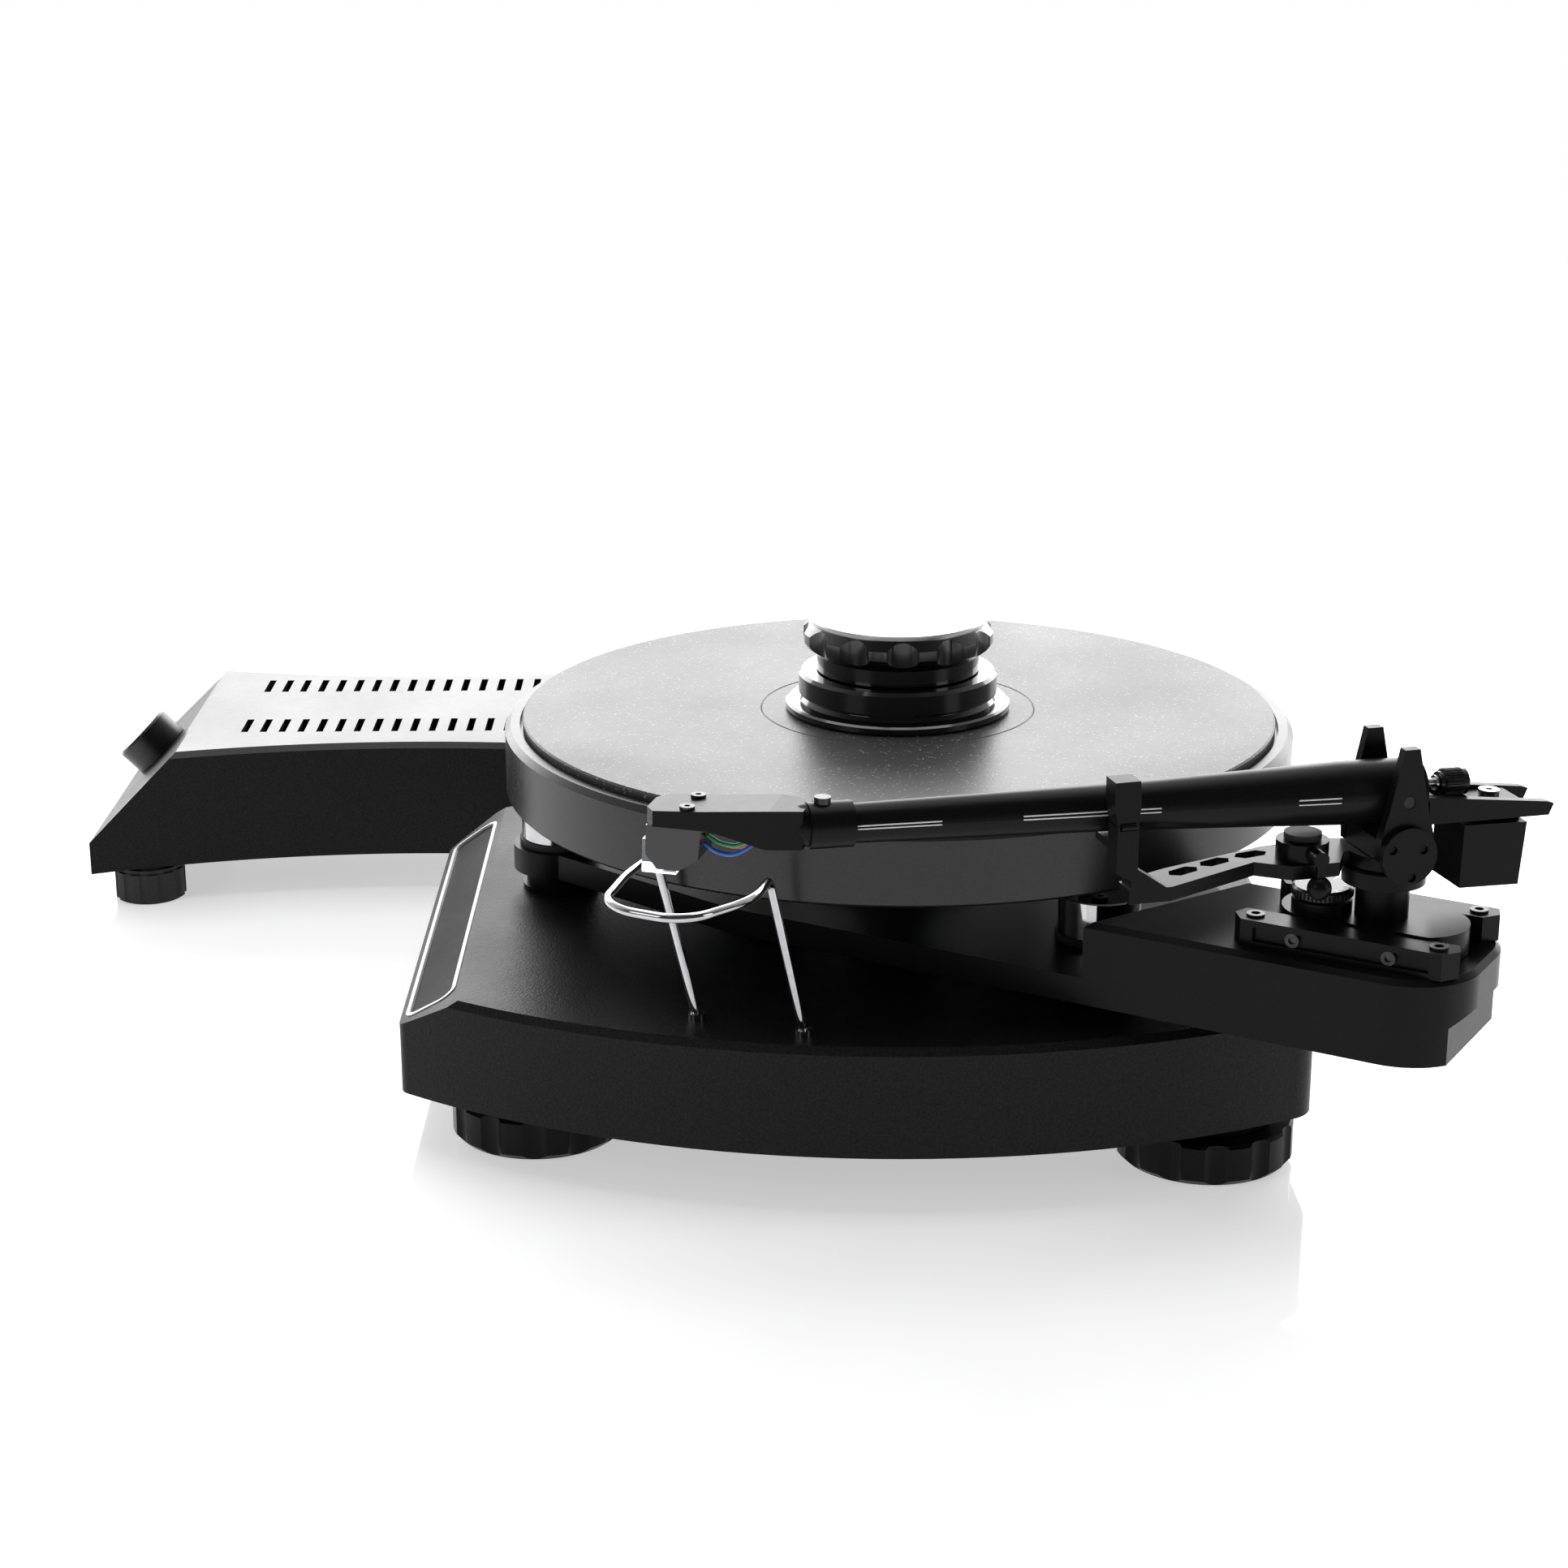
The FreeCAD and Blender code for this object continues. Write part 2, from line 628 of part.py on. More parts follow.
def posts():
    pillars, cups, plugs, rings = [], [], [], []
    cup_low = chassis_top
    for x, y in lobes():
        pillars += [cylinder(S["pillar_radius"], S["post_gap"], x, y, base_top),
                    cylinder(S["pillar_radius"] + 1.4, 2, x, y, base_top)]
        shell = cylinder(S["cup_radius"], S["cup_height"], x, y, cup_low)
        hollow = cylinder(S["cup_radius"] - S["cup_wall"], S["cup_height"], x, y, cup_low + 2)
        cups.append(cut(helper_name("cup"), shell, [hollow]))
        plug_low = cup_low + 2
        plugs.append(cylinder(S["cup_radius"] - S["cup_wall"], S["cup_height"] - 5.2, x, y, plug_low))
        plugs.append(socket_screw(as_size(1.6), 2.8, 3, x, y, cup_low + S["cup_height"] - 3.2))
        outer = cylinder(S["cup_radius"] + 0.9, S["ring_thick"], x, y, cup_low)
        inner = cylinder(S["cup_radius"], S["ring_thick"] + 2, x, y, cup_low - 1)
        rings.append(cut(helper_name("o_ring"), outer, [inner]))
    keep(deck(fused("isolation_pillars", pillars)))
    keep(deck(fused("isolation_cups", cups)))
    keep(deck(fused("isolation_plugs", plugs)))
    keep(deck(fused("isolation_rings", rings)))


# --------------------------------------------------------------------------- bearing and platter
platter_top = S["platter_under"] + S["platter_thick"]
mat_top = platter_top + S["mat_proud"]
hub_top = S["platter_under"] + 3
hub_low = hub_top - S["hub_thick"]
shaft_low = S["base_under"] + 34


def bearing():
    neck = S["housing_radius"] - 3
    bore = S["shaft_radius"] + S["running_gap"]
    low = S["base_under"] + 22
    floor = shaft_low - S["ball_radius"] * 2 - 0.1
    keep(deck(turned("bearing_housing", [
        (0, low), (S["housing_radius"], low), (S["housing_radius"], chassis_top),
        (S["flange_radius"], chassis_top), (S["flange_radius"], chassis_top + 4.5),
        (neck, chassis_top + 4.5), (neck, hub_low - 1.2), (bore, hub_low - 1.2), (bore, floor),
        (0, floor)])))
    keep(place(ball(S["ball_radius"], label="thrust_ball"), z=floor + S["ball_radius"] + 0.03))
    shoulder = S["platter_under"] + 9
    tip = mat_top + S["spindle_proud"]
    keep(deck(turned("spindle_shaft", [
        (0, shaft_low), (S["shaft_radius"], shaft_low), (S["shaft_radius"], shoulder),
        (S["spindle_radius"], shoulder), (S["spindle_radius"], tip - 1.2),
        (S["spindle_radius"] - 1.2, tip), (0, tip)])))


def platter():
    shaft = S["shaft_radius"]
    spindle = S["spindle_radius"] + S["seat_gap"]
    shoulder = S["platter_under"] + 9
    groove_low = hub_low + 3
    keep(deck(turned("sub_platter", [
        (shaft, hub_low), (S["hub_radius"], hub_low), (S["hub_radius"], groove_low),
        (S["groove_radius"], groove_low + 1), (S["groove_radius"], groove_low + S["groove_height"]),
        (S["hub_radius"], groove_low + S["groove_height"] + 1), (S["hub_radius"], hub_top),
        (shaft, hub_top)])))
    outer, edge, under = S["platter_radius"], S["rim_edge"], S["platter_under"]
    bed = mat_top - S["mat_thick"]
    keep(deck(turned("platter", [
        (shaft, hub_top), (S["hub_radius"] + S["seat_gap"], hub_top),
        (S["hub_radius"] + S["seat_gap"], under), (outer - edge / 2, under), (outer, under + edge / 2),
        (outer, platter_top - edge), (outer - edge, platter_top),
        (outer - S["rim_width"], platter_top), (outer - S["rim_width"], bed), (spindle, bed),
        (spindle, shoulder), (shaft, shoulder)])))
    ring, line = S["label_radius"], 0.4
    keep(deck(turned("platter_mat", [
        (spindle, bed), (S["mat_radius"], bed), (S["mat_radius"], mat_top - 0.6),
        (S["mat_radius"] - 0.6, mat_top), (ring + line, mat_top), (ring, mat_top - line),
        (ring - line, mat_top), (spindle, mat_top)])))


def motor():
    foot = base_top - S["motor_sink"]
    head = foot + S["motor_height"]
    radius = S["motor_radius"]
    keep(place(turned("motor_can", [
        (0, 0), (radius, 0), (radius, S["motor_height"] - 1.5), (radius - 1.5, S["motor_height"]),
        (S["motor_shaft"] + S["running_gap"], S["motor_height"]),
        (S["motor_shaft"] + S["running_gap"], S["motor_height"] - 9), (0, S["motor_height"] - 9)]),
        S["motor_x"], S["motor_y"], foot))
    groove_low = hub_low + 3
    shaft, wide, deep = S["motor_shaft"], S["pulley_radius"], S["pulley_groove"]
    keep(place(turned("motor_pulley", [
        (0, head - 8.5), (shaft, head - 8.5), (shaft, hub_low), (wide, hub_low), (wide, groove_low),
        (deep, groove_low + 1), (deep, groove_low + S["groove_height"]),
        (wide, groove_low + S["groove_height"] + 1), (wide, S["platter_under"] - 2), (0, S["platter_under"] - 2)]),
        S["motor_x"], S["motor_y"]))


def belt_loop(grow):
    """The belt's outline round both grooves, as two arcs and two tangents."""
    big, small = S["groove_radius"].value + grow, S["pulley_groove"].value + grow
    far = V(S["motor_x"].value, S["motor_y"].value, 0)
    along = V(far).normalize()
    across = V(-along.y, along.x, 0)
    lean = math.asin((big - small) / far.Length)
    edges, touches = [], []
    for side in (1, -1):
        out = along * math.sin(lean) + across * (side * math.cos(lean))
        touches.append((out * big, far + out * small))
    (big_a, small_a), (big_b, small_b) = touches
    edges.append(Part.LineSegment(big_a, small_a).toShape())
    edges.append(Part.Arc(small_a, far + along * small, small_b).toShape())
    edges.append(Part.LineSegment(small_b, big_b).toShape())
    edges.append(Part.Arc(big_b, along * -big, big_a).toShape())
    return Part.Face(Part.Wire(edges))


def belt():
    gap, thick = S["belt_gap"].value, S["belt_thick"].value
    band = belt_loop(gap + thick).cut(belt_loop(gap))
    item = new("Part::Feature", "drive_belt")
    item.Shape = band.extrude(V(0, 0, S["groove_height"].value - 1.4))
    keep(deck(item, hub_low + 4.2))


# --------------------------------------------------------------------------- record clamp
clamp_top = mat_top + S["clamp_height"]
socket_radius = 12


def clamp():
    bore = S["spindle_radius"] + S["seat_gap"] * 2
    flange, ring, low = S["clamp_flange"], S["clamp_ring"], mat_top
    split = low + 15.2
    keep(deck(turned("clamp_base", [
        (bore, low), (flange - 1, low), (flange, low + 1), (flange, low + 2.8), (flange - 1, low + 3.4),
        (ring - 0.4, low + 3.8), (ring - 1.4, low + 5.4), (ring, low + 6.6), (ring, split - 1.8),
        (ring - 1.2, split - 0.6), (socket_radius + S["running_gap"], split - 0.6),
        (socket_radius + S["running_gap"], low + 9), (bore, low + 9)])))
    neck, knob = S["clamp_neck"], S["knob_radius"]
    top = clamp_top - S["cap_thick"]
    blank = turned("knob_blank", [
        (bore, low + 9.4), (socket_radius, low + 9.4), (socket_radius, split), (neck, split),
        (neck, low + 21), (knob - 1, low + 24.4), (knob, low + 26), (knob, top - 3.2),
        (S["cap_radius"] + 0.6, top), (0, top), (0, low + S["spindle_proud"] + 1.4),
        (bore, low + S["spindle_proud"] + 1.4)])
    reach = knob + S["scallop_radius"] - S["scallop_depth"]
    scallops = [cylinder(S["scallop_radius"], 14, reach * math.cos(math.radians(30 * step)),
                         reach * math.sin(math.radians(30 * step)), low + 22) for step in range(12)]
    keep(deck(cut("clamp_knob", blank, scallops)))
    cap = turned("clamp_cap", [
        (0, top), (S["cap_radius"], top), (S["cap_radius"], clamp_top - 0.5),
        (S["cap_radius"] - 0.5, clamp_top), (0, clamp_top)])
    keep(deck(cap))


# --------------------------------------------------------------------------- stylus guard wire
def wire_guard():
    """A bent wire on two feet whose flat loop reaches under the parked stylus."""
    level = base_top + S["wire_height"]
    rim = S["platter_radius"] - 18
    item = bent_tube("guard_wire", [
        (rim, -73.1, base_top + 0.3), (rim - 2.3, -86.5, level), (rim + 21.4, -95.5, level),
        (rim + 50.4, -102.5, level), (rim + 64.9, -75.5, level), (rim + 45.4, -54, level),
        (rim + 25.6, -48.9, level), (rim + 15.2, -37.5, base_top + 0.3)],
        (4.5, 60, 17, 15, 40, 4.5), S["wire_radius"])
    collars = [cylinder(S["wire_radius"] + 1.3, 2.2, x, y, base_top)
               for x, y in ((rim, -73.1), (rim + 15.2, -37.5))]
    keep(deck(fused("wire_guard", [item] + collars)))


# --------------------------------------------------------------------------- arm base
rail_top = S["board_top"] + S["rail_height"]
carriage_low = S["board_top"] + S["carriage_gap"]
carriage_top = carriage_low + S["carriage_thick"]


def rail(side):
    wide = S["rail_outer"] - S["rail_inner"]
    v = (S["rail_outer"] + S["rail_inner"]) / 2 * side
    half = S["rail_length"] / 2
    bevel = 4
    body = slab(f"rail_blank_{'near' if side < 0 else 'far'}", [
        (S["rail_middle"] - half + bevel, v - wide / 2), (S["rail_middle"] + half - bevel, v - wide / 2),
        (S["rail_middle"] + half, v), (S["rail_middle"] + half - bevel / 2, v + wide / 2),
        (S["rail_middle"] - half + bevel / 2, v + wide / 2), (S["rail_middle"] - half, v)],
        S["rail_height"])
    at_board(body, S["board_top"])
    pocket = wrapped(block(S["rail_length"] * 0.78, 3, S["rail_height"] * 0.55, S["rail_middle"],
                           v + side * wide / 2, S["rail_height"] * 0.2))
    return cut(f"rail_{'near' if side < 0 else 'far'}", body, [at_board(pocket, S["board_top"])])


def rails():
    screws, sockets = [], []
    high = S["rail_height"]
    for side in (-1, 1):
        v = (S["rail_outer"] + S["rail_inner"]) / 2 * side
        for u in (S["rail_middle"] - S["rail_length"] / 2 + 7, S["rail_middle"] + S["rail_length"] / 2 - 7):
            screws.append(cylinder(3, 1.6, u, v, high - 0.8))
            sockets.append(cylinder(1.5, 2, u, v, high - 0.2))
    for u in (S["rail_middle"] - 16, S["rail_middle"] + 16):
        flat = FreeCAD.Rotation(V(1, 0, 0), 90)
        screws.append(cylinder(2.4, 1.5, u, -S["rail_outer"] + 1.8, high * 0.48, flat))
        sockets.append(cylinder(1.2, 2, u, -S["rail_outer"] + 1.1, high * 0.48, flat))
    group = fused("rail_screw_group", screws)
    pair = fused("rail_pair", [rail(-1), rail(1)])
    seats = at_board(wrapped(group), S["board_top"])
    keep(cut("arm_rails", pair, [seats]))
    keep(at_board(cut("rail_screws", group, sockets), S["board_top"]))


def carriage():
    half_wide = S["rail_inner"] - S["carriage_gap"]
    half = S["carriage_length"] / 2
    middle = S["carriage_middle"]
    body = slab("carriage_blank", [
        (middle - half + 8, -half_wide), (middle + half - 8, -half_wide),
        (middle + half - 8, half_wide), (middle - half + 8, half_wide)], S["carriage_thick"],
        {1: half_wide * 1.15, 3: half_wide * 1.15})
    bore = cylinder(S["column_radius"] + S["running_gap"], S["carriage_thick"] + 2, 0, 0, -1)
    keep(at_board(cut("arm_carriage", body, [bore]), carriage_low))
    radius, high = S["dial_radius"], S["dial_height"]
    dial_u = -(S["column_radius"] + radius + S["dial_space"])
    stand = fused("dial_stand", [
        cylinder(radius, high * 0.5, dial_u, S["dial_v"], 0),
        cylinder(3, high * 0.8, dial_u, S["dial_v"], 0)])
    keep(at_board(stand, carriage_top))
    dial = turned("anti_skate_dial", [
        (3 + S["running_gap"], high * 0.55), (radius - 1, high * 0.55), (radius, high * 0.62),
        (radius, high - 0.8), (radius - 0.8, high), (0, high), (0, high * 0.82),
        (3 + S["running_gap"], high * 0.82)])
    u, v = board_point(dial_u, S["dial_v"])
    keep(place(dial, u, v, carriage_top))


def column():
    low = S["board_top"] - 8
    keep(place(turned("arm_column", [
        (0, low), (S["column_radius"], low), (S["column_radius"], S["column_top"] - S["flange_thick"]),
        (S["column_flange"], S["column_top"] - S["flange_thick"]), (S["column_flange"], S["column_top"] - 0.6),
        (S["column_flange"] - 0.6, S["column_top"]), (0, S["column_top"])]),
        S["pivot_x"], S["pivot_y"]))


# --------------------------------------------------------------------------- rest, lift and latch
bracket_low = S["column_top"] - S["bearing_z"]
bracket_top = bracket_low + S["bracket_thick"]
tube_low_at_rest = -S["tube_waist"]


def tube_radius(s):
    """Radius of the tapered tube at a distance from the pivot."""
    along = (s - 17) / (S["tube_length"] - 17)
    return S["tube_root"] + (S["tube_tip"] - S["tube_root"]) * root(along)


def tube_height(s):
    return s * math.tan(math.radians(S["arm_rise"].value))


def rest_bracket():
    """A curved perforated strip from the column to the arm rest, clear of the swinging yoke."""
    reach = S["rest_reach"]
    near, deep = S["rest_post_n"], S["rest_post_depth"]
    strip = slab("bracket_strip", [
        (0, -11), (14, -15), (38, -12.5), (reach - 12, near - deep - 1), (reach + 6, near - 1),
        (reach + 6, near + deep), (reach - 8, near + deep), (46, 1.5), (36, 9), (20, 9), (14, -1), (0, 0)],
        S["bracket_thick"])
    hub = cylinder(S["column_flange"] - 1.6, S["bracket_thick"])
    holes = [slab(f"bracket_hole_{number}", oval(s, n, 6.2, 2.7, turn), S["bracket_thick"] + 2)
             for number, (s, n, turn) in enumerate(((44, -6, 12), (58, -2, 22), (71, 3.6, 24)))]
    for hole in holes:
        local(hole, z=-1)
    plate = cut("bracket_plate", fused("bracket_whole", [strip, hub]), holes)
    local(plate, z=bracket_low)
    seam = 1.0
    post = slab("rest_post", [
        (reach - 6.5, bracket_top - 0.2), (reach + 5.5, bracket_top - 0.2), (reach + 5.5, bracket_top + 3),
        (reach + 10.5, -14), (reach + 10.5, seam), (reach + 3.5, seam), (reach + 3.5, -13)],
        deep, role="XZ_Plane")
    local(post, y=near + deep)
    barrel_seat = cylinder(1.4, 5.4, reach + 4.3, near + deep, 1.1, FreeCAD.Rotation(V(0, 1, 0), 90))
    post = cut("rest_post_notched", post, [barrel_seat])
    shelf_top = tube_height(reach + 7) - tube_radius(reach + 7) - 0.5
    shelf = block(6.6, 13, 2.4, reach + 7, near - 4.5, shelf_top - 2.4)
    keep(at_arm(fused("rest_bracket", [plate, post, shelf])))


def oval(s, n, half_long, half_wide, turn):
    """A six-sided lozenge standing for a rounded slot, turned in the plate's plane."""
    shape = [(-half_long, 0), (-half_long * 0.6, -half_wide), (half_long * 0.6, -half_wide),
             (half_long, 0), (half_long * 0.6, half_wide), (-half_long * 0.6, half_wide)]
    c, d = math.cos(math.radians(turn)), math.sin(math.radians(turn))
    return [(s + x * c - y * d, n + x * d + y * c) for x, y in shape]


def rest_latch():
    reach, near, deep = S["rest_reach"], S["rest_post_n"], S["rest_post_depth"]
    latch = slab("latch_blank", [
        (reach + 3.6, 1.2), (reach + 10.4, 1.2), (reach + 11.6, 8), (reach + 11.6, 15.4),
        (reach + 3.4, 15.4), (reach + 3, 8)], deep, role="XZ_Plane")
    barrel = cylinder(1.1, 4.8, reach + 4.6, near + deep, 1.1, FreeCAD.Rotation(V(0, 1, 0), 90))
    keep(at_arm(fused("rest_latch", [local(latch, y=near + deep), barrel])))


def lift():
    """The cueing dashpot under the tube, its rising pad and the lever that works it."""
    s, radius = S["lift_s"], S["lift_radius"]
    tube_under = tube_height(s) - S["tube_root"]
    pad_top = tube_under - 1.8
    body_top = pad_top - 2.4
    flat = FreeCAD.Rotation(V(1, 0, 0), 90)
    floor = bracket_top + 2.2
    axle_z = bracket_top + 3.2
    shell = cylinder(radius, body_top - bracket_top, s, 0, bracket_top)
    bore = cylinder(3.2 + S["running_gap"], body_top - bracket_top - 2, s, 0, floor)
    boss = cylinder(2.6, 6, s, radius + 4.2, axle_z, flat)
    keep(at_arm(fused("lift_block", [cut("lift_shell", shell, [bore]), boss])))
    keep(at_arm(fused("lift_pad", [cylinder(6, 2, s, 0, pad_top - 2),
                                   cylinder(3.2, pad_top - floor - 1.2, s, 0, floor + 0.2)])))
    start = radius + 4.5
    lever = fused("cue_lever", [
        cylinder(2.6, 1.8, s, start + 1.8, axle_z, flat),
        block(2.4, 1.8, 7.4, s, start + 0.9, axle_z - 7.2),
        ball(S["cue_ball"], s, start + 0.9, axle_z - 9.4)])
    keep(at_arm(lever))


# --------------------------------------------------------------------------- yoke and arm
def yoke():
    """The swinging fork: two tapered cheeks on a block over the column."""
    inner, plate = S["yoke_inner"], S["yoke_plate"]
    floor = bracket_top + 0.3
    peak = S["yoke_top"] - S["bearing_z"]
    cheek = [(-8.6, floor), (8.6, floor), (9, floor + 8), (6.6, -2), (2.6, peak), (-2.6, peak),
             (-6.6, -2), (-9, floor + 8)]
    cheeks = [local(slab(f"yoke_cheek_{number}", cheek, plate, role="XZ_Plane"), y=start)
              for number, start in enumerate((inner + plate, -inner))]
    cross = block(17.2, inner * 2 + 1, 6.8, 0, 0, floor)
    axle = cylinder(S["pin_radius"] + S["running_gap"], inner * 2 + plate * 2 + 4, 0,
                    inner + plate + 2, 0, FreeCAD.Rotation(V(1, 0, 0), 90))
    keep(at_arm(cut("arm_yoke", fused("yoke_blank", cheeks + [cross]), [axle])))
    face = inner + plate
    flat = FreeCAD.Rotation(V(1, 0, 0), 90)
    disc = cylinder(S["cover_radius"], S["cover_thick"], 0, face + S["cover_thick"], -17, flat)
    pins = [cylinder(1.5, S["cover_thick"], x, face + S["cover_thick"] + 1.4, z, flat)
            for x, z in ((-4.6, -15), (6, -14.4), (-1, -24))]
    keep(at_arm(cut("bearing_cover", disc, pins)))


def arm_tube():
    """Tapered magnesium tube with its bearing pins through the fork."""
    waist_s, tip_s = 86, S["tube_length"]
    outer = [(-9, 0), (-9, S["tube_root"]), (17, S["tube_root"]), (waist_s, S["tube_waist"]),
             (tip_s, S["tube_tip"]), (tip_s, 0)]
    wall = S["tube_wall"]
    inner = [(4, 0), (4, S["tube_root"] - wall - 1), (17, S["tube_root"] - wall),
             (waist_s, S["tube_waist"] - wall), (tip_s - 6, S["tube_tip"] - wall), (tip_s - 6, 0)]
    tube = spun_along("tube_outer", outer)
    hollow = spun_along("tube_inner", inner)
    reach = S["yoke_inner"] + S["yoke_plate"] - 0.3
    pins = cylinder(S["pin_radius"], reach * 2, 0, reach, 0, FreeCAD.Rotation(V(1, 0, 0), 90))
    keep(at_tube(cut("arm_tube", tube, [hollow])))
    middle = cylinder(S["tube_root"], 30, -15, 0, 0, FreeCAD.Rotation(V(0, 1, 0), 90))
    keep(at_tube(cut("bearing_pins", pins, [middle])))


def spun_along(label, points):
    """A round piece turned about the arm's own length."""
    body = new("PartDesign::Body", label)
    profile = sketch(body, "XY_Plane", points[::-1])
    spin = body.newObject("PartDesign::Revolution", helper_name("turn"))
    spin.Profile = profile
    spin.ReferenceAxis = (profile, ["H_Axis"])
    spin.Angle = 360
    body.Tip = spin
    return body


def head():
    """Offset headshell with its socket collar, the cartridge, its guard and leads."""
    width, length = S["head_width"], S["head_length"]
    wedge = slab("head_wedge", [
        (2, -6.2), (13, -6.2), (30, -2.2), (length, -2.2), (length, 2.6), (34, 3.8), (12, 6), (2, 6)],
        width, role="XZ_Plane")
    local(wedge, y=width / 2)
    taper = slab("head_plan", [(1, -6), (12, -width / 2), (length - 3, -width / 2), (length, -5), (length, 5),
                               (length - 3, width / 2), (12, width / 2), (1, 6)], 30)
    local(taper, z=-15)
    shell = new("Part::Common", "head_cut")
    shell.Base, shell.Tool = wedge, taper
    back = FreeCAD.Rotation(-S["head_angle"].value, 0, 0).multiply(FreeCAD.Rotation(V(0, 1, 0), -90))
    along = FreeCAD.Rotation(-S["head_angle"].value, 0, 0).multVec(V(-8, 0, 0))
    collar = cylinder(S["tube_tip"] + 1.1, 14, -along.x * 0.3, -along.y * 0.3, 0, back)
    socket = cylinder(S["tube_tip"] + S["seat_gap"], 8, along.x, along.y, 0, back)
    neck = ball(S["tube_tip"] + 0.6, 2.4, 0, 0)
    screws = [socket_screw(as_size(1.25), 2.4, 3, S["stylus_reach"] - 8, n, 3.0) for n in (-6.35, 6.35)]
    boss = cylinder(2.6, 2, along.x * 0.3, along.y * 0.3, S["tube_tip"] + 0.9)
    group = fused("head_screw_group", screws + [boss])
    keep(at_head(cut("headshell", fused("head_whole", [shell, collar, neck]), [socket, group])))
    keep(at_head(renamed(wrapped(group), "head_screws")))
    reach, drop = S["stylus_reach"], S["cartridge_drop"]
    body = slab("cartridge", [
        (reach - 13, -2.2), (reach - 12, -drop + 4), (reach - 6, -drop), (reach + 1, -drop),
        (reach + 4.5, -drop + 5), (reach + 4.5, -2.2)], 16.6, role="XZ_Plane")
    keep(at_head(body, n=8.3))
    guard = slab("stylus_guard", [
        (reach - 5, -drop - 1.5), (reach + 5.8, -drop - 1.5), (reach + 5.8, -7), (reach + 4.6, -7),
        (reach + 4.6, -drop + 4), (reach + 1.2, -drop - 0.1), (reach - 5, -drop - 0.1)],
        15, role="XZ_Plane")
    keep(at_head(guard, n=7.5))


def leads():
    """Four short bent wires between the cartridge pins and the arm."""
    wires = []
    back = S["stylus_reach"].value - 13
    for number in range(4):
        n = -5.1 + 3.4 * number
        drop = -5.5 - 1.6 * (number % 2)
        wires.append(bent_tube(helper_name("lead"), [
            (back, n, drop), (back - 6, n * 1.1, drop - 2.5), (back - 13, n * 0.9, drop - 2),
            (back - 15, n * 0.6, -6.1)], (2.0, 2.0), as_size(0.6)))
    item = new("Part::Feature", "cartridge_leads")
    item.Shape = Part.makeCompound([wire.Shape for wire in wires])
    keep(at_head(item))


def rear_rails():
    """Two tapering rails behind the fork that carry the counterweight."""
    reach = S["rear_reach"]
    side = [(-9.2, -0.2), (-reach + 1, -3.8), (-reach - 1.5, -4.6), (-reach, -8.4), (-10.4, -9.2)]
    rails_made = []
    for number, start in enumerate((10, -7)):
        one = slab(f"rear_rail_{number}", side[::-1], 3, role="XZ_Plane")
        rails_made.append(local(one, y=start))
    bridge = block(4.6, 17, 7.4, -11.9, 0, -9)
    keep(at_tube(fused("rear_rails", rails_made + [bridge])))
    along = FreeCAD.Rotation(V(0, 1, 0), 90)
    keep(at_tube(fused("lead_screw", [cylinder(S["screw_radius"], 18.6, -27.8, 0, 1.5, along),
                                      cylinder(S["screw_radius"] + 1, 1, -16.5, 0, 1.5, along)])))
    bore = S["screw_radius"] + S["running_gap"]
    wheel = spun_along("thumbwheel", [(-9.4, bore), (-9.4, S["wheel_radius"]),
                                      (0, S["wheel_radius"] - 0.6), (0, bore)])
    keep(at_tube(wheel, -16.8, 0, 1.5))


def counterweight():
    """A block slung under the two rear rails on a saddle, with the screw that locks it."""
    half, length, high = S["weight_half"], S["weight_length"], S["weight_height"]
    top = -10.2
    middle = -33.5
    block_body = local(slab("weight_block", [
        (middle - length / 2, top), (middle - length / 2 + 1.2, top - high), (middle + length / 2, top - high),
        (middle + length / 2, top)], half * 2, role="XZ_Plane"), y=half)
    hanger = block(16, 13, 6.2, middle - 2, 0, top - 1.2)
    saddle = block(16, 13, 1.6, middle - 2, 0, top + 5)
    screw = socket_screw(as_size(1.6), 3.4, 3, middle - 2, 0, top + 6.6)
    keep(at_tube(cut("counterweight", fused("weight_whole", [block_body, hanger, saddle]), [screw])))
    keep(at_tube(renamed(wrapped(screw), "weight_screw")))


# --------------------------------------------------------------------------- speed controller
def case_outline(inset):
    half = (S["case_rear"] - S["case_front"]) / 2
    sag = S["case_bow"] - root(S["case_bow"] * S["case_bow"] - half * half)
    near, far = S["case_near"] - inset, S["case_far"] + inset
    front, rear = S["case_front"] + inset, S["case_rear"] - inset
    return [(far - sag, front), (near + sag, front), (near + sag, rear), (far - sag, rear)]


def case_bows():
    return {1: -S["case_bow"], 3: -S["case_bow"]}


